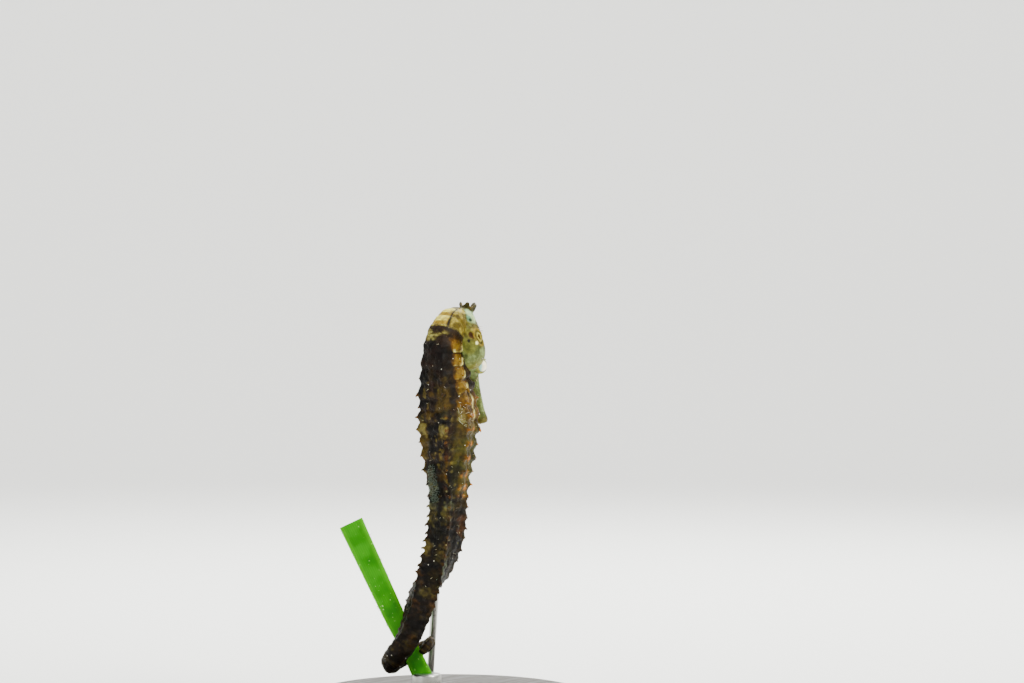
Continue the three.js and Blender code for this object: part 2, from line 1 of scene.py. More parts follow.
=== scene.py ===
"""Dresses the modelled seahorse for display: one skin over all of its flesh, with its bony spines,
skin filaments, rayed fins and eyes, the seagrass blade that its tail holds, and the turned stand.

Shapes are worked out in millimetres in the model's own frame and are written to meshes in metres.
The belly faces +X, the animal's left is +Y, and +Z is up."""

import math

import bpy
import numpy as np
from mathutils import Matrix, Vector


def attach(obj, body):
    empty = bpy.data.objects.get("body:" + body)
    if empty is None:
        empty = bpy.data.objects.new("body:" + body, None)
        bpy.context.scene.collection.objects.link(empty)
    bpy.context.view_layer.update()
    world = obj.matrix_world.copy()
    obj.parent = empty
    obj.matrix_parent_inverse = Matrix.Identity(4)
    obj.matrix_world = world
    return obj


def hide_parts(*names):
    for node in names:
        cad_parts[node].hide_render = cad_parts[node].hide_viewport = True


bl_info = {
    "name": "Seahorse on a stand",
    "version": (1, 0, 0),
    "blender": (4, 5, 0),
    "location": "3D View > Sidebar > Seahorse",
    "description": "Builds the skin, spines, fins, eyes, seagrass and stand of a seahorse model",
    "category": "Add Mesh",
}

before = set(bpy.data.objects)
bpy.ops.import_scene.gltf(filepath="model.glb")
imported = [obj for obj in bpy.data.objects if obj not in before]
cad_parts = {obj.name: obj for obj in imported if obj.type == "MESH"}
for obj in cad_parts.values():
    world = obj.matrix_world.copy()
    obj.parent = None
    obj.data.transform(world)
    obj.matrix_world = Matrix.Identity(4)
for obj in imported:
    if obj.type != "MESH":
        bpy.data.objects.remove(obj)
bpy.context.view_layer.update()
METRES = 0.001  # one millimetre
FULL_TURN = 2 * math.pi

# ---- driving dimensions, the same as the solids' ------------------------------------------------

BEND_TURN = math.radians(50)  # the tail swings in a plane turned this far
TRUNK_RINGS = 11
TAIL_RINGS = 37
TRUNK_TOP_Z = 94.25
TRUNK_END_Z = 56.75
TAIL_ROOT_RADIUS = 4.65
TAIL_TIP_RADIUS = 0.95
GROOVE = 0.03  # how far the skin dips between two rings, as a share of the radius
HEAD_BACK = np.array([4.8, 0.0, 100.0])  # the back of the skull, on the head's axis
HEAD_PITCH = math.radians(72.5)  # how far the snout points below level
HEAD_START = -2.2  # where the head's form begins in the neck, along its axis
HEAD_LENGTH = 28.0
MOUTH_RADIUS = 0.8
MOUTH_DEPTH = 1.6
EYE_RADIUS = 1.55
EYE_ALONG, EYE_UP, EYE_OUT = 13.1, 0.7, 2.75
TURRET_OUT = 2.25
BLADE_TILT = math.radians(25.3)  # how far the blade leans off upright
BLADE_HEART = (-9.0, 15.9)  # the middle of the tail's turn round the blade: across and up
BLADE_BOTTOM, BLADE_TOP = -9.2, 36.0  # along the blade, from its heart
BLADE_THICK = 1.2
TURN_RUN = (-1.8, 2.5)  # where the straight run behind the blade starts and ends
WRAP_GAP = 0.4  # clear air between the blade and the tail round it
BASE_RADIUS, BASE_HEIGHT = 35.0, 6.0
POST_RADIUS, POST_HEIGHT = 3.6, 4.6
NODE_GAP = 0.3  # clear air between two neighbouring solids
ROD_RADIUS = 0.9
ROD_FOOT = (-5.0, -9.8)  # across and near
ROD_TOP = (-2.7, -0.8, 38.5)  # across, near and up

SIDES = {"right": -1, "left": 1}
UP_AXIS = np.array([0.0, 0.0, 1.0])


# ---- arithmetic ---------------------------------------------------------------------------------


def ease(low, high, x):
    """A smooth step: 0 up to low, 1 from high on, and three t squared less two t cubed between."""
    t = np.clip((np.asarray(x, float) - low) / (high - low), 0, 1)
    return t * t * (3 - 2 * t)


def bell(x, width):
    """A bell curve: e to the minus square of x over width."""
    return np.exp(-np.square(np.asarray(x, float) / width))


def mix(a, b, share):
    return a + (b - a) * share


def full_turn(count):
    """That many angles, evenly round a full turn, without its end."""
    return np.linspace(0, FULL_TURN, count, endpoint=False)


def unit(vectors):
    return vectors / np.linalg.norm(vectors, axis=-1, keepdims=True)


def track(rows):
    """A smooth track through rows of [place, value, value...]: cubics between the rows, whose
    slopes at a row are those of the straight line between its two neighbours."""
    table = np.array(rows, float)
    spots, values = table[:, 0], table[:, 1:]
    before = np.maximum(np.arange(len(rows)) - 1, 0)
    after = np.minimum(np.arange(len(rows)) + 1, len(rows) - 1)
    slopes = (values[after] - values[before]) / (spots[after] - spots[before])[:, None]

    def at(x):
        x = np.asarray(x, float)
        i = np.clip(np.searchsorted(spots, x, side="right") - 1, 0, len(rows) - 2)
        span = spots[i + 1] - spots[i]
        t = np.clip((x - spots[i]) / span, 0, 1)[..., None]
        span = span[..., None]
        straight = mix(values[i], values[i + 1], t * t * (3 - 2 * t))
        bend = t * (1 - t) ** 2 * slopes[i] * span - t * t * (1 - t) * slopes[i + 1] * span
        return straight + bend

    return at


def lattice_value(corner, seed):
    """A value from 0 to 1 for each whole-number point, scattered by multiplying and shifting
    bits."""
    mixed = corner[..., 0] * 374761393 + corner[..., 1] * 668265263 + corner[..., 2] * 2147483647
    mixed = (mixed + seed * 1274126177) & 0xFFFFFFFF
    mixed = ((mixed ^ (mixed >> 13)) * 1103515245) & 0xFFFFFFFF
    return ((mixed ^ (mixed >> 16)) & 0xFFFF) / 65535.0


def mottle(points, size, seed=0):
    """Soft random patches from 0 to 1 about size mm across: the lattice's values, blended smoothly
    between the eight corners round each point."""
    scaled = np.asarray(points, float) / size
    base = np.floor(scaled).astype(np.int64)
    part = scaled - base
    part = part * part * (3 - 2 * part)
    total = 0.0
    for corner in np.ndindex(2, 2, 2):
        step = np.array(corner)
        weight = np.prod(np.where(step == 1, part, 1 - part), axis=-1)
        total = total + weight * lattice_value(base + step, seed)
    return total


def rough_mottle(points, size, seed=0):
    """Three sizes of patches added up, each half as large and half as strong as the one before."""
    layers = [mottle(points, size / 2**k, seed + 7 * k) / 2**k for k in range(3)]
    return sum(layers) / 1.75


# ---- places -------------------------------------------------------------------------------------

ACROSS = np.array([math.cos(BEND_TURN), -math.sin(BEND_TURN), 0.0])
NEAR = np.array([-math.sin(BEND_TURN), -math.cos(BEND_TURN), 0.0])


def place(across, near, z):
    """A point in the tail's plane: level across it, square to it towards the near side, and up."""
    parts = [(across, ACROSS), (near, NEAR), (z, UP_AXIS)]
    return sum(np.asarray(value, float)[..., None] * axis for value, axis in parts)


BLADE_AXIS = place(-math.sin(BLADE_TILT), 0, math.cos(BLADE_TILT))
BLADE_WIDE = place(math.cos(BLADE_TILT), 0, math.sin(BLADE_TILT))


def on_blade(wide, along, near):
    """A point by the blade's own directions: over its width, along it, and out of its face."""
    wide, along = np.asarray(wide, float)[..., None], np.asarray(along, float)[..., None]
    return place(BLADE_HEART[0], near, BLADE_HEART[1]) + wide * BLADE_WIDE + along * BLADE_AXIS


HEAD_AXIS = np.array([math.cos(HEAD_PITCH), 0.0, -math.sin(HEAD_PITCH)])
HEAD_UP = np.array([math.sin(HEAD_PITCH), 0.0, math.cos(HEAD_PITCH)])
SIDE_AXIS = np.array([0.0, 1.0, 0.0])


def on_head(along, up, out):
    """A point by the head's own directions: down its length, up off its axis, and out to the
    left."""
    parts = [(along, HEAD_AXIS), (up, HEAD_UP), (out, SIDE_AXIS)]
    return HEAD_BACK + sum(np.asarray(value, float)[..., None] * axis for value, axis in parts)


# ---- the body's midline -------------------------------------------------------------------------


def tail_radius(share):
    """The tail thins from its root to its tip by the square of the way along."""
    return TAIL_ROOT_RADIUS - (TAIL_ROOT_RADIUS - TAIL_TIP_RADIUS) * np.square(share)


def turn_point(degrees, share, along):
    """A point of the tail's turn round the blade: half circles past its two edges, joined by a
    straight run behind it."""
    angle = math.radians(degrees)
    radius = BLADE_THICK / 2 + WRAP_GAP + 0.93 * tail_radius(share)
    middle = TURN_RUN[0] if degrees < 180 else TURN_RUN[1]
    return on_blade(middle - radius * math.sin(angle), along, radius * math.cos(angle))


def smooth_line(points, per_span=260):
    """Points along a centripetal Catmull-Rom line: each span is a cubic whose end slopes come from
    its neighbours, weighed by the square roots of the distances between the points."""
    p = np.array([2 * points[0] - points[1], *points, 2 * points[-1] - points[-2]])
    root = np.sqrt(np.linalg.norm(np.diff(p, axis=0), axis=1))[:, None]
    p0, p1, p2, p3 = p[:-3], p[1:-2], p[2:-1], p[3:]
    d0, d1, d2 = root[:-2], root[1:-1], root[2:]
    leave = ((p1 - p0) / d0 - (p2 - p0) / (d0 + d1) + (p2 - p1) / d1) * d1
    arrive = ((p2 - p1) / d1 - (p3 - p1) / (d1 + d2) + (p3 - p2) / d2) * d1
    t = (np.arange(per_span) / per_span)[None, :, None]
    spans = (
        (2 * t**3 - 3 * t**2 + 1) * p1[:, None]
        + (t**3 - 2 * t**2 + t) * leave[:, None]
        + (3 * t**2 - 2 * t**3) * p2[:, None]
        + (t**3 - t**2) * arrive[:, None]
    )
    return np.vstack([spans.reshape(-1, 3), points[-1]])


MIDLINE = smooth_line(
    [
        np.array([5.2, 0, 97.0]),
        np.array([2.1, 0, 98.2]),
        np.array([-0.3, 0, 95.4]),
        np.array([-1.1, 0, 91.0]),
        np.array([-0.6, 0, 84.5]),
        np.array([0.8, 0, 77.0]),
        np.array([0.9, 0, 69.5]),
        np.array([0.3, 0, 61.5]),
        place(0.05, 0, 54.2),
        place(-0.2, 0, 48.5),
        place(-1.1, 0.1, 43.0),
        place(-3.4, 0.7, 37.0),
        place(-6.1, 2.0, 31.0),
        place(-8.0, 3.5, 25.0),
        on_blade(0.6, 3.9, 4.1),
        turn_point(25, 0.62, 1.5),
        turn_point(65, 0.66, 0.3),
        turn_point(110, 0.7, -0.2),
        turn_point(155, 0.74, -0.3),
        turn_point(205, 0.8, -0.1),
        turn_point(250, 0.85, 0.5),
        turn_point(295, 0.9, 0.6),
        turn_point(340, 0.95, -0.1),
        turn_point(372, 1, -0.9),
    ]
)
MIDLINE_ALONG = np.append(0, np.cumsum(np.linalg.norm(np.diff(MIDLINE, axis=0), axis=1)))
MIDLINE_FORWARD = unit(np.gradient(MIDLINE, axis=0))
BODY_LENGTH = MIDLINE_ALONG[-1]


def along_at_height(z):
    """How far along the midline the body first comes down to a height, below the neck."""
    past_neck = MIDLINE_ALONG > 4
    return MIDLINE_ALONG[np.argmax(past_neck & (MIDLINE[:, 2] <= z))]


TRUNK_START = along_at_height(TRUNK_TOP_Z)
TAIL_START = along_at_height(TRUNK_END_Z)
TAIL_LENGTH = BODY_LENGTH - TAIL_START
RING_LENGTH = (TAIL_START - TRUNK_START) / TRUNK_RINGS


def along_at_ring(ring):
    """Rings are evenly long in the trunk, and shorten evenly down the tail."""
    ring = np.asarray(ring, float)
    share = np.clip(ring - TRUNK_RINGS, 0, None) / TAIL_RINGS
    tail = TAIL_START + TAIL_LENGTH * share * (1.42 - 0.42 * share)
    return np.where(ring <= TRUNK_RINGS, TRUNK_START + ring * RING_LENGTH, tail)


RING_TABLE = np.linspace(-4, TRUNK_RINGS + TAIL_RINGS, 3000)
RING_TABLE_ALONG = along_at_ring(RING_TABLE)


def ring_at(along):
    return np.interp(along, RING_TABLE_ALONG, RING_TABLE)


def body_frame(along):
    """The midline's point and the body's own directions there: forward, towards its back, and to
    its left. The back turns away from the blade where the tail holds it."""
    along = np.asarray(along, float)
    point = np.stack([np.interp(along, MIDLINE_ALONG, MIDLINE[:, k]) for k in range(3)], -1)
    forward = [np.interp(along, MIDLINE_ALONG, MIDLINE_FORWARD[:, k]) for k in range(3)]
    forward = unit(np.stack(forward, -1))
    off_blade = point - on_blade(0, 0, 0)
    off_blade = off_blade - (off_blade @ BLADE_AXIS)[..., None] * BLADE_AXIS
    off_blade = unit(off_blade - 0.6 * (off_blade @ BLADE_WIDE)[..., None] * BLADE_WIDE)
    turned = ease(0.12, 0.6, (along - TAIL_START) / TAIL_LENGTH)[..., None]
    back = mix(np.array([-1.0, 0, 0]), off_blade, turned)
    back = unit(back - np.sum(back * forward, -1, keepdims=True) * forward)
    return point, forward, back, np.cross(forward, back)


# ---- the body's sections ------------------------------------------------------------------------

trunk_depth = track(
    [
        [-3, 6.4], [-1.6, 9.2], [0, 11.4], [2.2, 13.4], [4.4, 15.9], [6, 16.6],
        [8, 15.0], [10, 12.3], [11, 10.8],
    ]
)  # fmt: skip

# The seven ridges of the trunk, as shares of its depth towards the back and out to the left, and
# where they have drawn together at its last ring.
TRUNK_RIDGES = np.array(
    [
        [0.4, 0.26], [0.4, -0.26], [0.04, -0.37], [-0.33, -0.23],
        [-0.5, 0], [-0.33, 0.23], [0.04, 0.37],
    ]
)  # fmt: skip
TRUNK_END_RIDGES = np.array(
    [
        [0.32, 0.3], [0.32, -0.3], [0, -0.37], [-0.31, -0.29],
        [-0.37, 0], [-0.31, 0.29], [0, 0.37],
    ]
)  # fmt: skip
KEEL = 4  # the ridge down the middle of the belly
KEEL_SHARE = 0.35  # how much it stands off, beside the others
BELLY_SHARE = 0.6  # the same for the tail's two ridges on the belly's side
FLANK_RIDGES = (2, 3, 5, 6)  # where the bosses are broad and rounded
USUAL_RADIUS = 5.5  # of the trunk: where the body is thinner, its relief is lower
LOBE_AT, LOBE_TURN = 0.5, math.radians(88)  # the rounded lobes on the shoulders' first rings
LOBE_LONG = 0.52  # half a lobe's length, in rings
LOBE_REACH = 2.6  # half its width, in mm
TAIL_RIDGE_ANGLES = np.radians([45, -45, -135, 135])
CREST_AT = 0.55  # where a ring's own ridge stands, as a share of the ring


def trunk_ridges(ring):
    """Up and out of the seven ridges at each ring number, in mm. They fade into a round neck."""
    ring = np.asarray(ring, float)[..., None, None]
    ended, ridged = ease(8.5, TRUNK_RINGS, ring), ease(-1.6, 0.8, ring)
    angle = np.arctan2(TRUNK_RIDGES[:, 1], TRUNK_RIDGES[:, 0])
    rounded = np.stack([0.47 * np.cos(angle), 0.41 * np.sin(angle)], -1)
    drawn = mix(TRUNK_RIDGES, TRUNK_END_RIDGES, ended)
    return mix(rounded, drawn, ridged) * trunk_depth(ring[..., 0, 0])[..., None]


def tail_ridged(ring):
    """How sharp the tail's ridges are: 1 at its root, and nearly smooth where it holds the
    blade."""
    share = (along_at_ring(ring) - TAIL_START) / TAIL_LENGTH
    return 1 - 0.85 * ease(0.42, 0.66, share)


def ring_tall(ring, first):
    """How tall the bosses and spines of a ring are, beside the usual: every third ring's are
    taller. first is the ring that the count starts from."""
    return np.where(np.mod(np.floor(ring) - first, 3) == 0, 1.25, 0.85)


def shoulder_grown(ring):
    """How much of their size bosses and spines have on the trunk: small on the first rings."""
    return 0.4 + 0.6 * ease(1, 4, ring)


def ring_dip(ring, depth):
    """The skin dips between two rings, over the nearest three tenths of each."""
    part = ring - np.floor(ring)
    return 1 - depth * np.maximum(0, np.maximum(1 - part / 0.3, 1 - (1 - part) / 0.3))


def tail_profile(ring, angle):
    """The tail's radius: from a square with swollen sides to a soft circle, as its ridges fade."""
    share = np.clip((along_at_ring(ring) - TAIL_START) / TAIL_LENGTH, 0, 1)
    ridged = tail_ridged(ring)
    largest = np.maximum(np.abs(np.cos(angle)), np.abs(np.sin(angle)))
    square = math.sqrt(0.5) / largest * (1 + 0.06 * (1 - np.abs(np.sin(2 * angle))))
    soft = 0.9 + 0.05 * np.abs(np.sin(2 * angle))
    return tail_radius(share) * mix(soft, square, ridged) * ring_dip(ring, 0.8 * GROOVE)


def trunk_profile(ring, angle):
    """The trunk's radius: straight lines from ridge to ridge, which are the sine rule in polar
    form, swollen a little in the middle of each panel."""
    ridges = trunk_ridges(ring)
    turn = np.arctan2(ridges[..., 1], ridges[..., 0])
    reach = np.hypot(ridges[..., 0], ridges[..., 1])
    bulge = 0.05 + 0.06 * (1 - ease(-1.6, 0.8, ring))
    radius = np.zeros(np.broadcast(ring, angle).shape)
    for k in range(len(TRUNK_RIDGES)):
        after = (k + 1) % len(TRUNK_RIDGES)
        width = (turn[..., k] - turn[..., after]) % (FULL_TURN)
        off = (turn[..., k] - angle) % (FULL_TURN)
        share = off / width
        line = np.sin(width - off) / reach[..., k] + np.sin(off) / reach[..., after]
        line = np.sin(width) / np.where(off < width, line, 1)
        radius = np.where(off < width, line * (1 + bulge * 4 * share * (1 - share)), radius)
    return radius * ring_dip(ring, GROOVE)


def body_profile(ring, angle):
    """The body's radius about its midline, from neck to tail tip, before its lobes and warts."""
    blend = ease(10.4, 11.6, ring)
    trunk = trunk_profile(np.minimum(ring, 11.6), angle)
    return mix(trunk, tail_profile(np.maximum(ring, 10.4), angle), blend)


def angle_off(angle, centre):
    """The angle from centre, brought to between minus and plus half a turn."""
    return (angle - centre + math.pi) % (FULL_TURN) - math.pi


def lobe_distance(ring, angle, radius):
    """How far a point is from the middle of its ring's lobe on the shoulder, 1 at the lobe's
    edge."""
    tailwards = (ring - np.floor(ring) - LOBE_AT) / LOBE_LONG
    return np.hypot(tailwards, angle_off(np.abs(angle), LOBE_TURN) * radius / LOBE_REACH)


def lobed_rings(ring):
    """Which rings have lobes: the trunk's first four."""
    return ease(0.1, 0.4, ring) * (1 - ease(4.0, 4.6, ring))


def ridge_uneven(whole, ridge, seed):
    """A height from 0.6 to 1.4 for each crossing of a ring and a ridge, by their numbers."""
    return 0.6 + 0.8 * lattice_value(np.stack([whole, whole * 0 + ridge, whole * 0], -1), seed)


def body_relief(ring, angle, radius):
    """What stands off the plain section, in mm: a low ridge round each ring, a boss where it
    crosses each ridge of the body, broad and rounded on the flanks, and a shallow hollow
    between."""
    part = ring - np.floor(ring)
    whole = np.floor(ring).astype(int)
    in_trunk = ring < TRUNK_RINGS
    ridged = np.where(in_trunk, ease(0.1, 0.6, ring), tail_ridged(np.maximum(ring, TRUNK_RINGS)))
    ridged = ridged * np.where(in_trunk, shoulder_grown(ring), 1)
    tall = ring_tall(ring, np.where(in_trunk, 0, TRUNK_RINGS))
    size = radius / USUAL_RADIUS
    ridges = trunk_ridges(np.minimum(ring, TRUNK_RINGS))
    trunk_turn = np.arctan2(ridges[..., 1], ridges[..., 0])
    sharp, broad = np.zeros_like(radius), np.zeros_like(radius)
    for k in range(len(TRUNK_RIDGES)):
        off = angle_off(angle, trunk_turn[..., k]) * radius
        uneven = ridge_uneven(whole, k, 3)
        share = KEEL_SHARE if k == KEEL else 1.0
        sharp = np.where(in_trunk, np.maximum(sharp, share * uneven * bell(off, 0.85)), sharp)
        if k in FLANK_RIDGES:
            broad = np.where(in_trunk, np.maximum(broad, uneven * bell(off, 1.15)), broad)
    for k, turn in enumerate(TAIL_RIDGE_ANGLES):
        off = angle_off(angle, turn) * radius
        share = 1.0 if k < 2 else BELLY_SHARE
        boss = share * ridge_uneven(whole, k, 5) * bell(off, 0.6 * size + 0.2)
        sharp = np.where(in_trunk, sharp, np.maximum(sharp, boss))
    from_crest = part - CREST_AT
    bosses = 0.16 * tall * bell(from_crest, 0.19) * sharp + 0.3 * bell(from_crest, 0.32) * broad
    far = lobe_distance(ring, angle, radius)
    lobes = 1.2 * np.clip(1 - far**2, 0, 1) ** 0.4 * (0.8 + 0.5 * (part - LOBE_AT))
    lobes = lobes * lobed_rings(ring)
    along_ridge = 0.38 * sharp * ease(1, 3, ring)
    band = 0.14 * bell(from_crest, 0.2)
    hollow = 0.1 * (bell(part, 0.1) + bell(part - 1, 0.1))
    return (ridged * (bosses + along_ridge + band - hollow) + lobes) * np.clip(size, 0.35, 1.1)


# ---- the head's sections ------------------------------------------------------------------------

# Down the head: its top and its throat above the axis, and half its width.
head_shape = track(
    [
        [HEAD_START, 1.2, -3.0, 1.0], [-1.2, 2.8, -4.2, 2.7], [1.5, 3.3, -5.0, 4.2],
        [5, 3.3, -5.6, 5.4], [8.5, 2.9, -5.7, 4.9], [11.5, 2.7, -4.5, 3.5],
        [14, 2.0, -2.3, 2.1], [16.5, 1.4, -1.5, 1.4], [21, 1.2, -1.25, 1.15],
        [25, 1.25, -1.3, 1.2], [27.2, 1.6, -1.6, 1.5], [28, 1.4, -1.4, 1.3],
    ]
)  # fmt: skip


def head_measures(along):
    """Down the head: the middle of each section, its reach above and below, and half its width."""
    top, throat, half = np.moveaxis(head_shape(along), -1, 0)
    middle = 0.3 * top + 0.35 * throat
    return middle, top - middle, middle - throat, half


def head_grid(stations, around):
    """The head as half ellipses above and below each section's middle, with a low crest down its
    top and a brow over each eye, and last a taper back into the snout for the mouth."""
    along = np.linspace(HEAD_START, HEAD_LENGTH, stations)[:, None]
    angle = full_turn(around)[None, :]
    middle, above, below, half = head_measures(along)
    reach = np.where(np.cos(angle) > 0, above, below)
    crest = 0.35 * bell(angle_off(angle, 0), 0.16) * ease(2, 5, along) * (1 - ease(11, 14, along))
    brow = 0.35 * bell(np.abs(angle_off(angle, 0)) - 0.8, 0.3) * bell(along - 11.6, 1.8)
    cheek = -0.25 * bell(np.abs(angle_off(angle, 0)) - 1.5, 0.25) * bell(along - 15.2, 2.0)
    swell = crest + brow + cheek
    up = middle + (reach + swell) * np.cos(angle)
    out = (half + swell) * np.sin(angle)
    into = np.linspace(0, 1, 8)[:, None]
    wide = MOUTH_RADIUS * (1 - 0.6 * into)
    inwards = HEAD_LENGTH - MOUTH_DEPTH * into + 0 * angle
    mouth = on_head(inwards, wide * np.cos(angle), wide * np.sin(angle))
    return np.concatenate([on_head(along + 0 * angle, up, out), mouth])


# ---- meshes from grids --------------------------------------------------------------------------


def grid_shell(grid):
    """A closed shell from a grid of points whose rows are loops: quads between the rows and a fan
    to the middle of each end row, turned so that its volume is positive."""
    rows, around = grid.shape[:2]
    row, column = np.meshgrid(np.arange(rows - 1), np.arange(around), indexing="ij")
    after = (column + 1) % around
    quads = np.stack(
        [row * around + column, row * around + after, (row + 1) * around + after,
         (row + 1) * around + column], -1,
    ).reshape(-1, 4)  # fmt: skip
    step = np.arange(around)
    last = (rows - 1) * around
    hubs = rows * around
    start = np.stack([np.full(around, hubs), (step + 1) % around, step, step], -1)
    end = np.stack([np.full(around, hubs + 1), last + step, last + (step + 1) % around,
                    last + (step + 1) % around], -1)  # fmt: skip
    points = np.vstack([grid.reshape(-1, 3), grid[0].mean(0), grid[-1].mean(0)])
    faces = np.vstack([quads, start, end])
    corners = points[faces[:, :3]]
    volume = np.einsum("ij,ij->", corners[:, 0], np.cross(corners[:, 1], corners[:, 2]))
    corners = points[faces[:, [0, 2, 3]]]
    volume += np.einsum("ij,ij->", corners[:, 0], np.cross(corners[:, 1], corners[:, 2]))
    return points, faces if volume > 0 else flip_faces(faces)


def flip_faces(faces):
    """The same faces the other way round. A triangle is a quad whose last two corners are alike."""
    triangle = faces[:, 2] == faces[:, 3]
    turned = faces[:, [0, 3, 2, 1]]
    turned[triangle] = faces[triangle][:, [0, 2, 1, 1]]
    return turned


def join_shells(shells):
    """Several shells as one list of points and faces."""
    starts = np.cumsum([0] + [len(points) for points, _ in shells[:-1]])
    faces = [faces + start for (_, faces), start in zip(shells, starts)]
    return np.vstack([points for points, _ in shells]), np.vstack(faces)


def make_mesh(name, points, faces, smooth=True):
    """A mesh from points in mm and quads, where a triangle is a quad with its last corners
    alike."""
    mesh = bpy.data.meshes.new(name)
    triangle = faces[:, 2] == faces[:, 3]
    sizes = np.where(triangle, 3, 4)
    keep = np.ones(faces.shape, bool)
    keep[triangle, 3] = False
    mesh.vertices.add(len(points))
    mesh.vertices.foreach_set("co", (points * METRES).astype(np.float32).ravel())
    mesh.loops.add(int(sizes.sum()))
    mesh.loops.foreach_set("vertex_index", faces[keep].astype(np.int32))
    mesh.polygons.add(len(faces))
    mesh.polygons.foreach_set("loop_start", np.append(0, np.cumsum(sizes)[:-1]).astype(np.int32))
    mesh.polygons.foreach_set("use_smooth", np.full(len(faces), smooth))
    mesh.update(calc_edges=True)
    mesh.validate()
    return mesh


def set_attribute(mesh, name, values):
    """A number or a colour for each point of the mesh."""
    values = np.asarray(values, np.float32)
    if values.ndim == 2:
        values = np.hstack([values, np.ones((len(values), 4 - values.shape[1]), np.float32)])
        mesh.attributes.new(name, "FLOAT_COLOR", "POINT").data.foreach_set("color", values.ravel())
    else:
        mesh.attributes.new(name, "FLOAT", "POINT").data.foreach_set("value", values)


def show(name, mesh, material, slot, *nodes):
    """Puts a mesh in the scene as a piece that rides on the model and stands for those nodes."""
    mesh.materials.clear()
    mesh.materials.append(material)
    piece = bpy.data.objects.new(name, mesh)
    bpy.context.scene.collection.objects.link(piece)
    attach(piece, "root")
    if nodes:
        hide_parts(*nodes)
    return piece


# ---- where a point of the skin lies on the animal -----------------------------------------------


MIDLINE_STEP = 0.35  # between the midline's points that the skin's points are matched to
CHUNK = 4000  # points matched at once, which keeps the table of distances small


def nearest_along(points):
    """How far along the midline each point's own place is: the nearest one, where a thick part of
    the body draws points from further off than a thin one."""
    along = np.arange(0, BODY_LENGTH, MIDLINE_STEP)
    middle, forward, _, _ = body_frame(along)
    girth = np.maximum(body_profile(ring_at(along), along * 0), 0.6)
    nearest = np.empty(len(points), int)
    for start in range(0, len(points), CHUNK):
        part = points[start : start + CHUNK]
        far = np.linalg.norm(part[:, None] - middle[None], axis=-1)
        nearest[start : start + CHUNK] = np.argmin(far / girth + 0.002 * far, axis=1)
    step = np.sum((points - middle[nearest]) * forward[nearest], -1)
    return np.clip(along[nearest] + np.clip(step, -0.4, 0.4), 0, BODY_LENGTH)


class Spots:
    """For each point, in mm: its ring number and angle on the body, how far out it is as a share of
    the body there, and its place along, above and beside the head's axis."""

    def __init__(self, points):
        self.points = points
        self.along = nearest_along(points)
        self.ring = ring_at(self.along)
        point, _, back, side = body_frame(self.along)
        up, out = np.sum((points - point) * back, -1), np.sum((points - point) * side, -1)
        self.angle = np.arctan2(out, up)
        self.girth = body_profile(self.ring, self.angle)
        self.reach = np.hypot(up, out)
        from_head = points - HEAD_BACK
        self.head_along, self.head_up = from_head @ HEAD_AXIS, from_head @ HEAD_UP
        self.head_out = from_head[:, 1]
        cover = np.stack(
            [
                (self.head_along - GILL_ALONG) / GILL_RADII[0],
                (self.head_up - GILL_UP) / GILL_RADII[1],
                (np.abs(self.head_out) - GILL_OUT) / GILL_RADII[2],
            ],
            -1,
        )
        self.cover_reach = np.linalg.norm(cover, axis=-1)
        self.head = self.head_share()

    def head_share(self):
        """1 on the head and 0 on the body, by which of the two forms the point stands out from
        more. Near the eyes and on the face it is 1 throughout."""
        middle, above, below, half = head_measures(self.head_along)
        tall = np.where(self.head_up > middle, above, below)
        head_reach = np.hypot((self.head_up - middle) / tall, self.head_out / half)
        past_ends = self.head_along - np.clip(self.head_along, HEAD_START, HEAD_LENGTH + 2)
        head_reach += np.abs(past_ends)
        on_skull = np.minimum(head_reach, self.cover_reach)
        share = ease(-0.05, 0.05, self.reach / self.girth - on_skull)
        share = np.where(on_skull > 1.35, 0, share)
        from_eye = np.hypot(self.head_along - EYE_ALONG, self.head_up - EYE_UP)
        on_face = (self.head_along > 4.5) & (self.head_up > -2) & (on_skull < 1.6)
        return np.where((from_eye < 3.2) | on_face, 1, share)


# ---- the skin -----------------------------------------------------------------------------------

GILL_ALONG, GILL_UP, GILL_OUT = 8.0, -2.0, 2.9
GILL_RADII = (5.0, 4.2, 3.2)  # along, up and out
PORE_ALONG, PORE_UP, PORE_OUT = 5.0, -0.8, 5.2
NAPE_FOLD = 0.52  # how far apart the nape's folds and bands are, in rings


def body_grid(stations, around):
    """The body from neck to tail tip: the profile and its relief, carried along the midline."""
    along = np.linspace(along_at_ring(-3), BODY_LENGTH - 0.05, stations)
    angle = full_turn(around)
    ring = np.repeat(ring_at(along)[:, None], around, 1)
    turn = np.repeat(angle[None], stations, 0)
    radius = body_profile(ring, turn)
    radius = radius + body_relief(ring, turn, radius)
    to_tip = (BODY_LENGTH - along) / TAIL_TIP_RADIUS
    radius = radius * np.sqrt(np.clip(1 - (1 - np.clip(to_tip, 0.02, 1)) ** 2, 0, 1))[:, None]
    point, _, back, side = body_frame(along)
    out = np.cos(turn)[..., None] * back[:, None] + np.sin(turn)[..., None] * side[:, None]
    return point[:, None] + radius[..., None] * out


def lathe(profile, around):
    """A profile of rows [height, radius] carried round +Z."""
    height, radius = np.array(profile, float).T
    angle = full_turn(around)
    across = radius[:, None] * np.cos(angle), radius[:, None] * np.sin(angle)
    return np.stack([*across, np.repeat(height[:, None], around, 1)], -1)


def aim(grid, foot, up, towards):
    """Turns a grid that stands on the origin along +Z, to stand on foot along up."""
    up = unit(np.asarray(up, float))
    first = unit(np.asarray(towards, float) - np.dot(towards, up) * up)
    second = np.cross(up, first)
    return foot + grid[..., :1] * first + grid[..., 1:2] * second + grid[..., 2:] * up


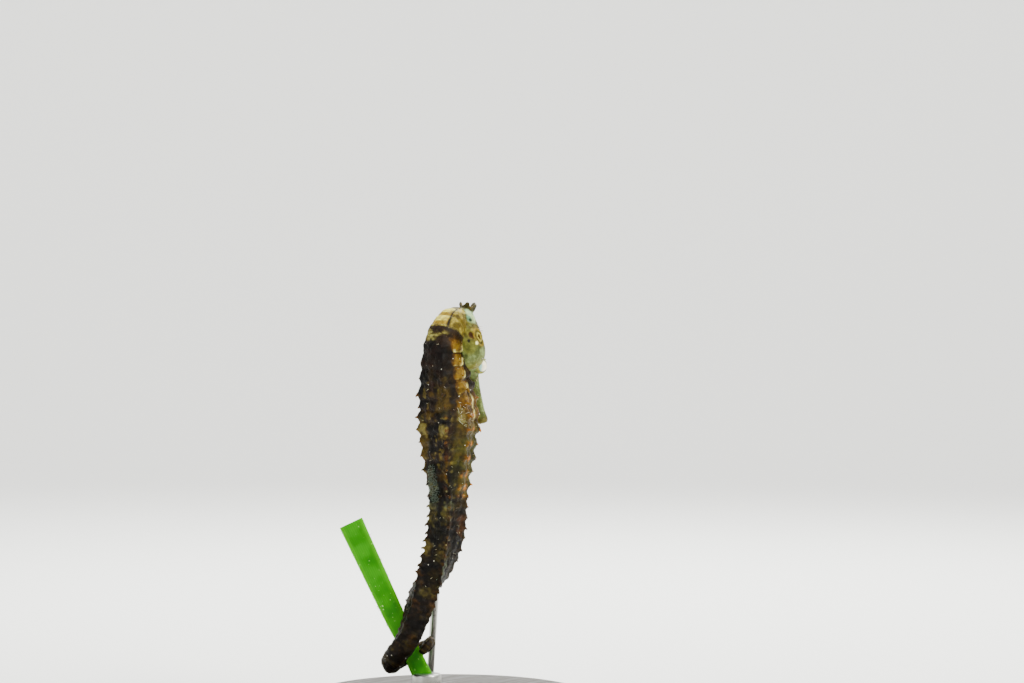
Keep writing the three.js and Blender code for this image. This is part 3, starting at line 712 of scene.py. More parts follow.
def ellipsoid(centre, radii, axes, rows=40, around=56):
    """A stretched ball on three directions."""
    down = np.linspace(0.04, math.pi - 0.04, rows)[:, None]
    turn = full_turn(around)[None]
    parts = np.cos(down) + 0 * turn, np.sin(down) * np.cos(turn), np.sin(down) * np.sin(turn)
    return centre + sum((r * p)[..., None] * a for r, p, a in zip(radii, parts, axes))


def thorn(foot, along, side, length, radius, hook=0.25, rows=7, around=8, blunt=0.18):
    """A tapered cone that curves: its middle line leaves foot along one direction and bends towards
    the other by the square of the way up. foot and both directions may be lists of them."""
    foot, along, side = (np.atleast_2d(np.asarray(x, float)) for x in (foot, along, side))
    length, radius = np.atleast_1d(length), np.atleast_1d(radius)
    along = unit(along)
    side = unit(side - np.sum(side * along, -1, keepdims=True) * along)
    third = np.cross(along, side)
    way = np.linspace(-0.25, 1, rows)
    turn = full_turn(around)
    bend = (hook * np.clip(way, 0, 1) ** 2)[None, :, None]
    middle = foot[:, None] + length[:, None, None] * (
        way[None, :, None] * along[:, None] + bend * side[:, None]
    )
    thin = np.where(way < 0, 1.0, blunt + (1 - blunt) * (1 - np.clip(way, 0, 1)) ** 0.9)
    thin = thin * np.sqrt(np.clip((1.02 - way) / 0.12, 0.05, 1))
    size = radius[:, None] * thin[None]
    first_share, second_share = np.cos(turn)[None, :, None], np.sin(turn)[None, :, None]
    round_it = first_share * side[:, None] + second_share * third[:, None]
    return middle[:, :, None] + size[..., None, None] * round_it[:, None]


CROWN_FOOT = np.array([6.4, 0, 100.1])  # where the crown's middle line leaves the skull
CROWN_LEAN = math.radians(22)  # how far it leans forwards
CROWN_UP = np.array([math.sin(CROWN_LEAN), 0, math.cos(CROWN_LEAN)])
CROWN_AHEAD = np.array([math.cos(CROWN_LEAN), 0, -math.sin(CROWN_LEAN)])
CROWN_HEIGHT = 2.3
CROWN_CUP = 1.5  # how high the cup's floor lies
PRONG_TURNS = np.radians([0, 72, 144, 216, 288])
PRONG_HEIGHTS = [3.0, 1.5, 1.5, 1.3, 1.6]  # round the rim, from the front
PRONG_WIDTH = 0.42  # in radians, each side of its middle


def coronet_grids():
    """The crown on the skull: a cup on a short column that leans forwards. Its height round the rim
    is a low wall with five bells on it, the front one tallest, and each bell tapers to a point."""
    turn = full_turn(72)[None]
    prongs = zip(PRONG_HEIGHTS, PRONG_TURNS)
    points = sum(high * bell(angle_off(turn, at), PRONG_WIDTH) for high, at in prongs)
    rim = CROWN_HEIGHT - 0.15 + points
    up = np.linspace(0, 1, 16)[:, None]
    outer = 1.45 + 0.75 * up**2 + 0.06 * points * up
    outside = np.stack([-1 + (rim + 1) * up, outer + 0 * turn], -1)
    down = np.linspace(0, 1, 12)[:, None]
    inner = mix(1, 0.15, down**1.5) * (outer[-1] - 0.6)
    inside = np.stack([mix(rim - 0.1, CROWN_CUP, down), inner], -1)
    rows = np.concatenate([outside, inside])
    cup = np.stack([rows[..., 1] * np.cos(turn), rows[..., 1] * np.sin(turn), rows[..., 0]], -1)
    return [aim(cup, CROWN_FOOT, CROWN_UP, CROWN_AHEAD)]


def turret_grid(sign):
    """The mound that carries an eye: a lathed rim with a socket sunk into it."""
    profile = [
        [-1.8, 0.6], [-1.5, 1.6], [-0.5, 2.05], [0.2, 2.05], [0.7, 1.95], [1.0, 1.8], [1.12, 1.6],
        [1.1, 1.42], [0.9, 1.25], [0.6, 0.9], [0.4, 0.4],
    ]  # fmt: skip
    centre = on_head(EYE_ALONG, EYE_UP, sign * TURRET_OUT)
    return aim(lathe(profile, 48), centre, [0, sign, 0.0], HEAD_AXIS)


def skin_grids():
    """Every closed form that the skin covers."""
    grids = [body_grid(900, 176), head_grid(170, 120), *coronet_grids()]
    for sign in SIDES.values():
        centre = on_head(GILL_ALONG, GILL_UP, sign * GILL_OUT)
        grids.append(ellipsoid(centre, GILL_RADII, (HEAD_AXIS, HEAD_UP, SIDE_AXIS)))
        grids.append(turret_grid(sign))
    return grids


def remeshed(points, faces, size):
    """One closed surface round overlapping shells, made on a lattice of that size in mm."""
    source = make_mesh("shells", points, faces)
    source.transform(scaling(1 / METRES))
    holder = bpy.data.objects.new("shells", source)
    bpy.context.scene.collection.objects.link(holder)
    modifier = holder.modifiers.new("join", "REMESH")
    modifier.mode, modifier.voxel_size, modifier.adaptivity = "VOXEL", size, 0
    joined = holder.evaluated_get(bpy.context.evaluated_depsgraph_get()).to_mesh()
    count = len(joined.vertices)
    co = np.empty(count * 3, np.float32)
    joined.vertices.foreach_get("co", co)
    corner = np.empty(len(joined.loops), np.int32)
    joined.loops.foreach_get("vertex_index", corner)
    faces = corner.reshape(-1, 4)
    holder.evaluated_get(bpy.context.evaluated_depsgraph_get()).to_mesh_clear()
    bpy.data.objects.remove(holder)
    bpy.data.meshes.remove(source)
    return co.reshape(-1, 3).astype(float), faces


def scaling(factor):
    """A matrix that scales everything by one factor."""
    return Matrix.Scale(factor, 4)


def neighbours_mean(points, pairs, count):
    """The mean of each point's neighbours along the mesh's edges."""
    total = np.zeros_like(points)
    for k in range(points.shape[1]):
        total[:, k] = np.bincount(pairs[:, 0], points[pairs[:, 1], k], len(points))
    return total / count[:, None]


def smoothed(points, faces, rounds):
    """Points drawn half way to their neighbours' mean and then a little further back out, which
    takes the lattice's steps away and keeps the volume."""
    edges = np.vstack([faces[:, [0, 1]], faces[:, [1, 2]], faces[:, [2, 3]], faces[:, [3, 0]]])
    pairs = np.vstack([edges, edges[:, ::-1]])
    count = np.bincount(pairs[:, 0], minlength=len(points)).astype(float)
    for _ in range(rounds):
        points = points + 0.5 * (neighbours_mean(points, pairs, count) - points)
        points = points - 0.52 * (neighbours_mean(points, pairs, count) - points)
    return points


def point_normals(points, faces):
    """Each point's outward direction: the sum of its faces' diagonals crossed."""
    first, second, third, fourth = (points[faces[:, corner]] for corner in range(4))
    crossed = np.cross(third - first, fourth - second)
    normal = np.zeros_like(points)
    for corner in range(4):
        for k in range(3):
            normal[:, k] += np.bincount(faces[:, corner], crossed[:, k], len(points))
    return unit(normal + 1e-12)


def pore_distance(spots):
    """Distance from the gill pore in its own plane, in mm, squeezed so that the slit stands
    upright."""
    along, up = spots.head_along - PORE_ALONG, spots.head_up - PORE_UP
    beside = np.abs(np.abs(spots.head_out) - PORE_OUT)
    return np.where(beside < 2.5, np.hypot(along / 1.45, up), 99.0)


def skin_detail(spots):
    """Small relief over the whole skin, in mm: lumps, warts and folds, the raised ring and slit
    of the gill pores, and folds across the nape."""
    body = 1 - spots.head
    snout = ease(14, 17, spots.head_along) * spots.head
    crown = ease(100.5, 102, spots.points[:, 2]) * ease(4.5, 6, spots.points[:, 0])
    knobbly = body * ease(-0.4, 0.6, spots.ring) * (1 - 0.5 * ease(26, 36, spots.ring))
    lumps = 0.5 * (rough_mottle(spots.points, 2.2, 13) - 0.5) * knobbly
    fine = 0.42 * (rough_mottle(spots.points, 0.95, 11) - 0.5) * mix(0.35, 1, knobbly)
    lumps = lumps + fine * (1 - 0.7 * snout)
    skull = spots.head * (1 - ease(6, 9, spots.head_along))
    lumps = lumps + 0.5 * (rough_mottle(spots.points, 1.4, 29) - 0.5) * skull
    lumps = lumps + 0.35 * (mottle(spots.points, 0.8, 17) - 0.5) * crown
    warts = 0.14 * ease(0.6, 0.8, mottle(spots.points, 0.8, 23)) * knobbly
    far = pore_distance(spots)
    pore = 0.26 * bell(far - 0.66, 0.18) - 0.6 * bell(far, 0.3) + 0.16 * bell(far - 1.5, 0.25)
    nape = (1 - ease(-0.6, -0.4, spots.ring)) * body
    folds = 0.11 * np.sin(FULL_TURN * (spots.ring / NAPE_FOLD)) * nape
    crease = 0.16 * bell(nape_crease(spots, np.abs(np.degrees(spots.angle))), 5.0) * nape
    return lumps + warts + pore * spots.head + folds - crease


def skin_surface(size):
    """The skin's points and faces, in mm, and where each point lies."""
    points, faces = join_shells([grid_shell(grid) for grid in skin_grids()])
    points, faces = remeshed(points, faces, size)
    points = smoothed(points, faces, 3)
    spots = Spots(points)
    points = points + skin_detail(spots)[:, None] * point_normals(points, faces)
    spots.points = points
    return points, faces, spots


# ---- colours of the skin ------------------------------------------------------------------------


def tone(hex_colour):
    """A colour written as on a screen, as the linear amounts that the shaders work with."""
    screen = np.array([int(hex_colour[i : i + 2], 16) for i in (1, 3, 5)]) / 255
    return np.where(screen <= 0.04045, screen / 12.92, ((screen + 0.055) / 1.055) ** 2.4)


def layer(colour, pigment, share):
    """A pigment laid over a colour, by a share at each point."""
    return mix(colour, tone(pigment), np.clip(share, 0, 1)[:, None])


def body_patch(spots, ring, degrees, long, wide, ragged=0.5):
    """A ragged oval on both sides of the body, long by wide mm, round a ring number and an angle
    off the middle of the back."""
    along = (spots.along - along_at_ring(ring)) / long
    around = (np.abs(np.degrees(spots.angle)) - degrees) * np.radians(1) * spots.girth / wide
    uneven = ragged * (mottle(spots.points, 0.9, 61) - 0.5)
    return 1 - ease(0.7, 1.15, np.hypot(along, around) + uneven)


def head_patch(spots, along, up, out, size, ragged=0.4):
    """A ragged blot on both sides of the head, about size mm in radius, round a point by the head's
    own directions."""
    offsets = [spots.head_along - along, spots.head_up - up, np.abs(spots.head_out) - out]
    uneven = ragged * (mottle(spots.points, 0.8, 67) - 0.5)
    return 1 - ease(0.65, 1.2, np.linalg.norm(offsets, axis=0) / size + uneven)


def ridge_lines(spots, degrees, wide):
    """How near a point is to the pair of ridges at that angle off the back."""
    return bell((np.abs(np.degrees(spots.angle)) - degrees) * np.radians(1) * spots.girth, wide)


def body_colour(spots):
    """Umber plates with ochre flanks, cream ridges and a cream nape in narrow bands; the tail is
    darker, with tan blots and pale lines between its last rings."""
    p, ring = spots.points, spots.ring
    side = np.abs(np.degrees(spots.angle))
    part = ring - np.floor(ring)
    big, middling = rough_mottle(p, 3.4, 31), rough_mottle(p, 1.6, 41)
    small = rough_mottle(p, 0.7, 51)
    colour = mix(tone("#1b110a"), tone("#4a301a"), ease(0.3, 0.72, big)[:, None])
    rusty = 0.4 * ease(0.5, 0.7, middling) * (1 - ease(20, 60, side)) * (ring < 13)
    colour = layer(colour, "#5a2b16", rusty)
    on_trunk = ease(1.5, 4, ring) * (1 - 0.55 * ease(11, 14, ring))
    grey = 0.45 * ease(0.56, 0.76, rough_mottle(p, 2.1, 77)) * ease(2, 6, ring)
    colour = layer(colour, "#76715a", grey)
    colour = layer(colour, "#7d6426", 0.75 * ease(0.5, 0.66, rough_mottle(p, 2.6, 201)) * on_trunk)
    colour = layer(colour, "#9c8a52", 0.6 * ease(0.62, 0.74, rough_mottle(p, 1.1, 207)) * on_trunk)

    plates = 1 - np.clip(bell(part, 0.13) + bell(part - 1, 0.13), 0, 1)
    flank = ease(40, 62, side) * (1 - ease(150, 172, side)) * ease(-0.5, 0.4, ring)
    ochre = flank * (1 - ease(5.5, 8, ring)) * plates * mix(0.45, 1, ease(0.35, 0.6, middling))
    colour = layer(colour, "#94691f", 0.85 * ochre)
    colour = layer(colour, "#b98a35", 0.7 * ochre * ease(0.52, 0.7, small))
    ragged_end = 1 - ease(9.4, 12.8, ring + 2.6 * (middling - 0.5))
    olive = flank * ease(4.5, 7, ring) * ragged_end
    colour = layer(colour, "#68652f", 0.75 * olive * mix(0.4, 1, ease(0.35, 0.65, middling)))
    belly = ease(140, 165, side) * ease(0, 1.5, ring) * ragged_end
    colour = layer(colour, "#a08b58", 0.7 * belly * mix(0.5, 1, ease(0.4, 0.6, middling)))

    crest = mix(0.5, 1, bell(part - CREST_AT, 0.3))
    uneven = ease(0.3, 0.5, small)
    low = ridge_lines(spots, 124, 0.5) * ease(3.6, 4.4, ring) * (1 - ease(5.4, 6.6, ring))
    colour = layer(colour, "#f4ebc4", low * crest * uneven)
    in_rings = lobed_rings(ring)
    far = lobe_distance(ring, spots.angle, spots.girth)
    gold = 0.9 * (1 - ease(0.5, 0.85, far)) * in_rings * mix(0.5, 1, middling)
    colour = layer(colour, "#a8862c", gold)
    lower_edge = ease(0, 0.5, 0.5 * (side - np.degrees(LOBE_TURN)) / 25 + 2 * (part - LOBE_AT))
    # Painted shade: darker just outside each shoulder lobe's edge, so the lobes stand apart.
    colour = colour * (1 - 0.7 * ease(0.92, 1.1, far) * flank * in_rings)[:, None]
    lip = bell(far - 0.9, 0.19) * lower_edge
    colour = layer(colour, "#f2e6b4", lip * in_rings * mix(0.8, 1, uneven))
    tips = 0.2 * ridge_lines(spots, 34, 0.5) + 0.5 * ridge_lines(spots, 84, 0.5)
    tips = tips + ridge_lines(spots, 118, 0.6)
    tips = tips * bell(part - CREST_AT, 0.15) * ease(4, 6, ring) * (1 - ease(11, 12.5, ring))
    colour = layer(colour, "#e08a34", 0.95 * tips)

    on_tail = ease(11.2, 12, ring)
    colour = layer(colour, "#241810", 0.5 * on_tail * (1 - ease(24, 34, ring)))
    colour = layer(colour, "#4d3520", 0.45 * ease(25, 36, ring))
    tan = 0.5 * on_tail * ease(0.56, 0.7, rough_mottle(p, 2.6, 91)) * uneven
    colour = layer(colour, "#6f4c26", tan)
    edge = ridge_lines(spots, 45, 0.5) + ridge_lines(spots, 135, 0.5)
    edge = 0.3 * edge * on_tail * (1 - ease(18, 24, ring)) * bell(part - CREST_AT, 0.2)
    colour = layer(colour, "#a5773a", edge)
    for at, degrees, long, wide, pigment in TAIL_BLOTS:
        ragged = mix(0.25, 0.75, ease(0.35, 0.65, middling))
        colour = layer(colour, pigment, ragged * body_patch(spots, at, degrees, long, wide, 1.0))

    seam = (bell(part, 0.09) + bell(part - 1, 0.09)) * mix(0.55, 1, small)
    colour = colour * (1 - 0.55 * seam * ease(0, 1, ring) * (1 - ease(34, 38, ring)))[:, None]
    colour = layer(colour, "#a99468", 0.5 * seam * ease(33, 38, ring))
    shade = 0.55 * ridge_lines(spots, 52, 0.8) * ease(0.3, 1, ring) * (1 - ease(6, 9, ring))
    colour = layer(colour, "#0d0906", shade)
    return nape_colour(spots, colour, side, small)


# Blots down the tail and the trunk: ring, degrees off the back, length, width, colour.
TAIL_BLOTS = [
    (6.4, 26, 1.6, 1.3, "#a39468"), (5.4, 66, 2.2, 1.2, "#a9a488"),
    (9.6, 16, 2.2, 1.4, "#5c3c1c"), (11.8, 12, 1.8, 1.6, "#120d0a"),
    (12.5, 46, 0.9, 2.0, "#8f9488"), (13.5, 32, 2.8, 1.3, "#8f8250"),
    (14.3, 112, 2.6, 1.6, "#7a4a1a"), (17.3, 33, 2.4, 1.4, "#8d7a4e"),
    (19.2, 58, 2.6, 1.0, "#6d7568"), (22.3, 10, 1.5, 1.8, "#776b42"),
    (24.0, 40, 1.4, 1.2, "#6d4a24"), (26.5, 70, 1.6, 1.4, "#5a3d22"),
]  # fmt: skip


def nape_crease(spots, side):
    """How many degrees a point lies off the thin crease that slants down between nape and cheek."""
    return side - 33 - 10 * (spots.ring + 1)


def nape_colour(spots, colour, side, small):
    """The nape: cream and yellow bands down to a brown one, then a ragged pale patch; golden behind
    the cheek, past a thin dark line of painted shade along the crease."""
    ring = spots.ring
    nape = 1 - ease(-0.62, -0.42, ring + 0.2 * (small - 0.5))
    wave = 0.5 + 0.5 * np.sin(FULL_TURN * (ring / NAPE_FOLD + 0.004 * side))
    bands = mix(tone("#a8852c"), tone("#e8db90"), ease(0.2, 0.8, wave)[:, None])
    bands = mix(bands, tone("#cdb358"), 0.3)
    colour = mix(colour, bands, (nape * (1 - 0.35 * ease(28, 44, side)))[:, None])
    gold = nape * ease(30, 42, side)
    colour = layer(colour, "#7f6d24", 0.92 * gold * mix(0.7, 1, ease(0.35, 0.6, small)))
    colour = layer(colour, "#c9b468", 0.6 * gold * ease(0.55, 0.7, mottle(spots.points, 1.1, 87)))
    # Painted shade: a thin near-black line along the crease between nape and cheek.
    colour = layer(colour, "#1c1008", 0.95 * nape * bell(nape_crease(spots, side), 4.0))
    brown = bell(ring + 0.32 + 0.1 * (small - 0.5), 0.16) * (1 - ease(95, 120, side))
    colour = layer(colour, "#4f3614", 0.95 * brown)
    ragged = ring - 0.06 + 0.5 * (rough_mottle(spots.points, 1.8, 93) - 0.5) + 0.0035 * side
    pale = bell(ragged, 0.14) * (1 - ease(28, 55, side)) * ease(0.25, 0.45, small)
    return layer(colour, "#c3b880", 0.8 * pale)


def head_colour(spots):
    """Sage green and half clear on the cheeks and snout, olive and gold above, bluish white round
    the crown's foot, with a brown blot before the gill pore and a cream ring with a gold arc
    round it."""
    p, along, up = spots.points, spots.head_along, spots.head_up
    out = np.abs(spots.head_out)
    middling, small = rough_mottle(p, 1.5, 141), rough_mottle(p, 0.7, 151)
    colour = mix(tone("#79805a"), tone("#9aa584"), ease(0.35, 0.65, middling)[:, None])
    top = 1 - ease(5.5, 8.5, along + 0.9 * (middling - 0.5) - 0.35 * up)
    colour = layer(colour, "#857831", 0.92 * top * mix(0.7, 1, ease(0.35, 0.6, small)))
    colour = layer(colour, "#b8a55a", 0.6 * top * ease(0.52, 0.68, mottle(p, 1.0, 161)))
    colour = layer(colour, "#4c3c18", 0.55 * top * ease(0.6, 0.75, mottle(p, 1.3, 167)))
    colour = layer(colour, "#8d8a44", 0.8 * head_patch(spots, 6.4, -4.0, 4.4, 2.3))
    colour = layer(colour, "#bccfc4", 0.8 * head_patch(spots, 0.2, 0.2, 2.9, 2.0))
    colour = layer(colour, "#6fa09c", 0.8 * head_patch(spots, -0.1, -1.0, 3.4, 0.9))
    colour = layer(colour, "#33403c", 0.85 * head_patch(spots, 0.6, -0.8, 3.7, 0.5))
    for step in (-0.6, 0, 0.6):
        colour = layer(colour, "#6a4012", 0.95 * head_patch(spots, 4.2 + step, -2.8, 4.7, 0.65))
    colour = layer(colour, "#1d120b", 0.9 * head_patch(spots, 5.0, -4.0, 4.7, 0.5))
    colour = layer(colour, "#fbf6df", 0.95 * head_patch(spots, 6.1, -2.4, 5.6, 0.5))
    colour = layer(colour, "#6f6a30", 0.7 * head_patch(spots, 7.0, -4.6, 4.4, 0.9))
    cover_edge = 0.7 * bell(spots.cover_reach - 1, 0.06) * bell(along - 12.2, 1.5)
    colour = layer(colour, "#a79a4a", cover_edge)
    rim = bell(np.hypot(along - EYE_ALONG, up - EYE_UP) - 1.9, 0.35) * ease(2.2, 3.2, out)
    colour = layer(colour, "#c9bd7c", 0.75 * rim)
    snout = ease(14, 16.5, along)
    edge = bell(out, 0.45) * snout
    colour = layer(colour, "#c4ab4a", 0.9 * edge)
    bands = bell(along - 18.4, 0.5) + bell(along - 22.3, 0.6)
    colour = layer(colour, "#8a8f62", 0.4 * bands)
    colour = layer(colour, "#8a6a34", 0.8 * ease(25.8, 27.2, along) * mix(0.5, 1, small))
    # Painted shade: near black inside the mouth's opening, as if deep in its recess.
    mouth = ease(26, 26.5, along) * (1 - ease(0.75, 1.05, np.hypot(up, out)))
    colour = layer(colour, "#140d08", 0.9 * mouth)
    colour = layer(colour, "#7a5a34", 0.5 * snout * ease(0.66, 0.8, small))
    far = pore_distance(spots)
    colour = layer(colour, "#6a5a24", 0.7 * bell(far - 1.05, 0.2))
    colour = layer(colour, "#bd9a3c", 0.8 * bell(far - 1.5, 0.16))
    colour = layer(colour, "#d9c674", 0.9 * bell(far - 0.68, 0.15))
    colour = layer(colour, "#7a4c1c", 0.8 * (1 - ease(0.36, 0.5, far)))
    # Painted shade: near black in the middle of the gill pore's pit.
    return layer(colour, "#17100b", 0.95 * (1 - ease(0.2, 0.34, far)))


def crown_colour(spots, colour):
    """The crown: bluish white and half clear at its foot, dark olive brown on its rim and
    prongs."""
    from_foot = spots.points - CROWN_FOOT
    height = from_foot @ CROWN_UP
    beside = np.linalg.norm(from_foot - height[:, None] * CROWN_UP, axis=1)
    ahead = ease(0.6, 1.4, from_foot @ CROWN_AHEAD)
    near = 1 - ease(3.0, 3.6, beside)
    colour = layer(colour, "#a9c2ba", 0.85 * near * ease(-0.4, 0.4, height))
    rim = ease(1.0, 1.7, height + 0.8 * (mottle(spots.points, 0.8, 7) - 0.5))
    dark = near * np.maximum(rim, 0.8 * ahead * ease(-2.2, -0.8, height))
    colour = layer(colour, "#5f5228", 0.95 * dark)
    return layer(colour, "#93783a", 0.6 * dark * ease(0.5, 0.7, mottle(spots.points, 0.6, 9)))


def skin_colour(spots):
    """The colour at each point: the head's, the body's, the crown's, and white specks, partly dust
    and partly painted glints.
    """
    colour = mix(body_colour(spots), head_colour(spots), spots.head[:, None])
    colour = crown_colour(spots, colour)
    # White specks: partly dust, partly painted glints of light on the wet skin.
    dust_and_glint_patches = ease(0.5, 0.65, mottle(spots.points, 4, 311))
    dust_and_glint_specks = ease(0.9, 0.95, mottle(spots.points, 0.55, 301)) * dust_and_glint_patches
    return deepened(layer(colour, "#e9e4d2", 0.5 * dust_and_glint_specks))


def deepened(colour):
    """The pigments as they look on wet skin: the dark ones darker, all of them richer, blue held
    back."""
    light = colour @ np.array([0.3, 0.6, 0.1])
    rich = (colour / light[:, None]) ** 1.2
    return np.clip(1.08 * light[:, None] ** 1.62 * rich * [0.9, 1.0, 0.6], 0, 1)


# ---- shader tools -------------------------------------------------------------------------------


def add(tree, kind, inputs=None, **options):
    """Adds a shader node. An input is a value or another node's output, by the socket's name."""
    node = tree.nodes.new(kind)
    for name, value in options.items():
        setattr(node, name, value)
    for name, value in (inputs or {}).items():
        if isinstance(value, bpy.types.NodeSocket):
            tree.links.new(value, node.inputs[name])
        else:
            node.inputs[name].default_value = value
    return node


def blended(tree, share, low, high, way="MIX"):
    """One colour blended into another by a share, all of them values or outputs."""
    node = tree.nodes.new("ShaderNodeMix")
    node.data_type, node.blend_type = "RGBA", way
    for index, value in ((0, share), (6, low), (7, high)):
        if isinstance(value, bpy.types.NodeSocket):
            tree.links.new(value, node.inputs[index])
        else:
            node.inputs[index].default_value = value
    return node.outputs[2]


def ranged(tree, value, low, high, to_low=0.0, to_high=1.0):
    """A value carried from one range to another in a smooth step."""
    inputs = {
        "Value": value, "From Min": low, "From Max": high, "To Min": to_low, "To Max": to_high,
    }  # fmt: skip
    node = add(tree, "ShaderNodeMapRange", inputs, interpolation_type="SMOOTHSTEP")
    return node.outputs["Result"]


def rgba(hex_colour):
    return (*tone(hex_colour), 1.0)


def new_material(name):
    """A material with a surface shader, and its tree, shader and the object's own coordinates."""
    material = bpy.data.materials.new(name)
    material.use_nodes = True
    tree = material.node_tree
    shader = tree.nodes["Principled BSDF"]
    where = add(tree, "ShaderNodeTexCoord").outputs["Object"]
    return material, tree, shader, where


def noise(tree, where, size_mm, detail=2.0, rough=0.55):
    """Cloudy noise whose patches are about that many mm across."""
    inputs = {"Vector": where, "Scale": 1000 / size_mm, "Detail": detail, "Roughness": rough}
    return add(tree, "ShaderNodeTexNoise", inputs).outputs["Fac"]


def bumped(tree, shader, height, depth_mm, strength=1.0):
    """Fine relief in the shading, from a height between 0 and 1 and its depth in mm."""
    inputs = {"Height": height, "Distance": depth_mm * METRES, "Strength": strength}
    tree.links.new(add(tree, "ShaderNodeBump", inputs).outputs["Normal"], shader.inputs["Normal"])


def set_values(shader, **values):
    """Plain numbers set on the shader's sockets, by name with low lines for spaces."""
    for name, value in values.items():
        shader.inputs[name.replace("_", " ")].default_value = value


def skin_material():
    """Wet skin over bony plates, thin enough to let a little light in. Fine pores and grit in the
    relief catch the light, and pale painted dots stand partly for grit and partly for small glints
    of light on the moist film."""
    material, tree, shader, where = new_material("wet_skin_over_bone")
    paint = add(tree, "ShaderNodeAttribute", attribute_name="paint").outputs["Color"]
    cloud, grain = noise(tree, where, 0.9, 3.0), noise(tree, where, 0.28, 2.0)
    dark = blended(tree, ranged(tree, cloud, 0.3, 0.7), (0.62, 0.58, 0.54, 1), (1.3, 1.28, 1.24, 1))
    colour = blended(tree, 1.0, paint, dark, "MULTIPLY")
    # Pale dots painted in the base colour: partly grit, partly painted glints.
    cells = add(tree, "ShaderNodeTexVoronoi", {"Vector": where, "Scale": 1600.0})
    bright = add(tree, "ShaderNodeSeparateColor", {"Color": cells.outputs["Color"]})
    chosen = ranged(tree, bright.outputs["Red"], 0.975, 0.985)
    near = ranged(tree, cells.outputs["Distance"], 0.26, 0.14)
    grit_and_glint_dots = add(tree, "ShaderNodeMath", {0: chosen, 1: near}, operation="MULTIPLY").outputs[0]
    colour = blended(tree, grit_and_glint_dots, colour, rgba("#e4dfcf"))
    tree.links.new(colour, shader.inputs["Base Color"])
    tree.links.new(ranged(tree, grain, 0.3, 0.7, 0.38, 0.62), shader.inputs["Roughness"])
    height = add(tree, "ShaderNodeMath", {0: grain, 1: cloud}, operation="ADD").outputs[0]
    bumped(tree, shader, height, 0.16)
    set_values(shader, IOR=1.36, Specular_IOR_Level=0.14, Coat_Weight=0.03, Coat_Roughness=0.2)
    set_values(shader, Subsurface_Weight=0.06, Subsurface_Scale=0.0008)
    shader.inputs["Subsurface Radius"].default_value = (1.0, 0.55, 0.3)
    return material


def filament_material():
    """Bare skin threads, pale and thin, that glow a little where light comes through them."""
    material, tree, shader, where = new_material("pale_skin_thread")
    cloud = ranged(tree, noise(tree, where, 1.2), 0.35, 0.65)
    colour = blended(tree, cloud, rgba("#6a664c"), rgba("#bdb698"))
    tree.links.new(colour, shader.inputs["Base Color"])
    set_values(shader, Roughness=0.45, Subsurface_Weight=0.3, Subsurface_Scale=0.0006)
    return material


def fin_material(ray_colour):
    """A clear membrane on bony rays: nearly see-through between the rays, milky along them, with a
    dusting of dark dots, and glossy with water."""
    material, tree, shader, where = new_material("rayed_fin_membrane")
    ray = add(tree, "ShaderNodeAttribute", attribute_name="ray").outputs["Fac"]
    speckle = ranged(tree, noise(tree, where, 0.8, 1.0), 0.62, 0.7)
    colour = blended(tree, ray, rgba("#2f3d36"), ray_colour)
    colour = blended(tree, speckle, colour, rgba("#3c3220"))
    tree.links.new(colour, shader.inputs["Base Color"])
    solid = ranged(tree, ray, 0.0, 1.0, 0.25, 0.42)
    tree.links.new(solid, shader.inputs["Alpha"])
    set_values(shader, Roughness=0.5, IOR=1.38, Specular_IOR_Level=0.15)
    return material


def eye_material(iris_colour):
    """A fish's eye under its clear front: black pupil, an iris with brassy threads, and a pale rim
    that is painted glare, cream white with a cyan fringe.
    A smooth clear coat gives it one sharp highlight."""
    material, tree, shader, _ = new_material("clear_eye_over_brassy_iris")
    off = add(tree, "ShaderNodeAttribute", attribute_name="gaze").outputs["Fac"]
    spin = add(tree, "ShaderNodeAttribute", attribute_name="thread").outputs["Fac"]
    threads = blended(tree, ranged(tree, spin, 0.3, 0.7), rgba("#e0c98a"), iris_colour)
    # Painted glare: cream white round the iris, then a cyan fringe further round the ball.
    colour = blended(tree, ranged(tree, off, 42, 52), threads, rgba("#fff7d2"))
    colour = blended(tree, ranged(tree, off, 92, 112), colour, rgba("#a9ddd6"))
    inner = ranged(tree, off, 32, 24)
    colour = blended(tree, inner, colour, rgba("#8a6a2c"))
    colour = blended(tree, ranged(tree, off, 21.5, 19.5), colour, rgba("#050505"))
    tree.links.new(colour, shader.inputs["Base Color"])
    set_values(shader, Roughness=0.3, Coat_Weight=1.0, Coat_Roughness=0.03, IOR=1.376)
    return material


def blade_material(leaf_colour):
    """A living seagrass blade: bright green with fine lengthwise veins and paler margins, a waxy
    gloss, and light that comes through it."""
    material, tree, shader, where = new_material("living_seagrass_leaf")
    across = add(tree, "ShaderNodeAttribute", attribute_name="across").outputs["Fac"]
    vein = add(tree, "ShaderNodeAttribute", attribute_name="vein").outputs["Fac"]
    off = add(tree, "ShaderNodeMath", {0: across}, operation="ABSOLUTE").outputs[0]
    patches = ranged(tree, noise(tree, where, 5.0, 2.0), 0.35, 0.65)
    colour = blended(tree, patches, rgba("#1c6f00"), leaf_colour)
    colour = blended(tree, ranged(tree, off, 0.5, 1.0), colour, rgba("#4c9f04"))
    veins = add(tree, "ShaderNodeMath", {0: vein, 1: 0.35}, operation="MULTIPLY").outputs[0]
    colour = blended(tree, veins, colour, rgba("#1f5a10"))
    spots = ranged(tree, noise(tree, where, 0.7, 1.0), 0.7, 0.76)
    colour = blended(tree, spots, colour, rgba("#9ccf6a"))
    tree.links.new(colour, shader.inputs["Base Color"])
    gloss = ranged(tree, noise(tree, where, 0.5), 0.3, 0.7, 0.3, 0.45)
    tree.links.new(gloss, shader.inputs["Roughness"])
    bumped(tree, shader, vein, 0.05)
    set_values(shader, Subsurface_Weight=0.25, Subsurface_Scale=0.001)
    set_values(shader, IOR=1.42, Specular_IOR_Level=0.12)
    shader.inputs["Subsurface Radius"].default_value = (0.6, 1.0, 0.2)
    return material


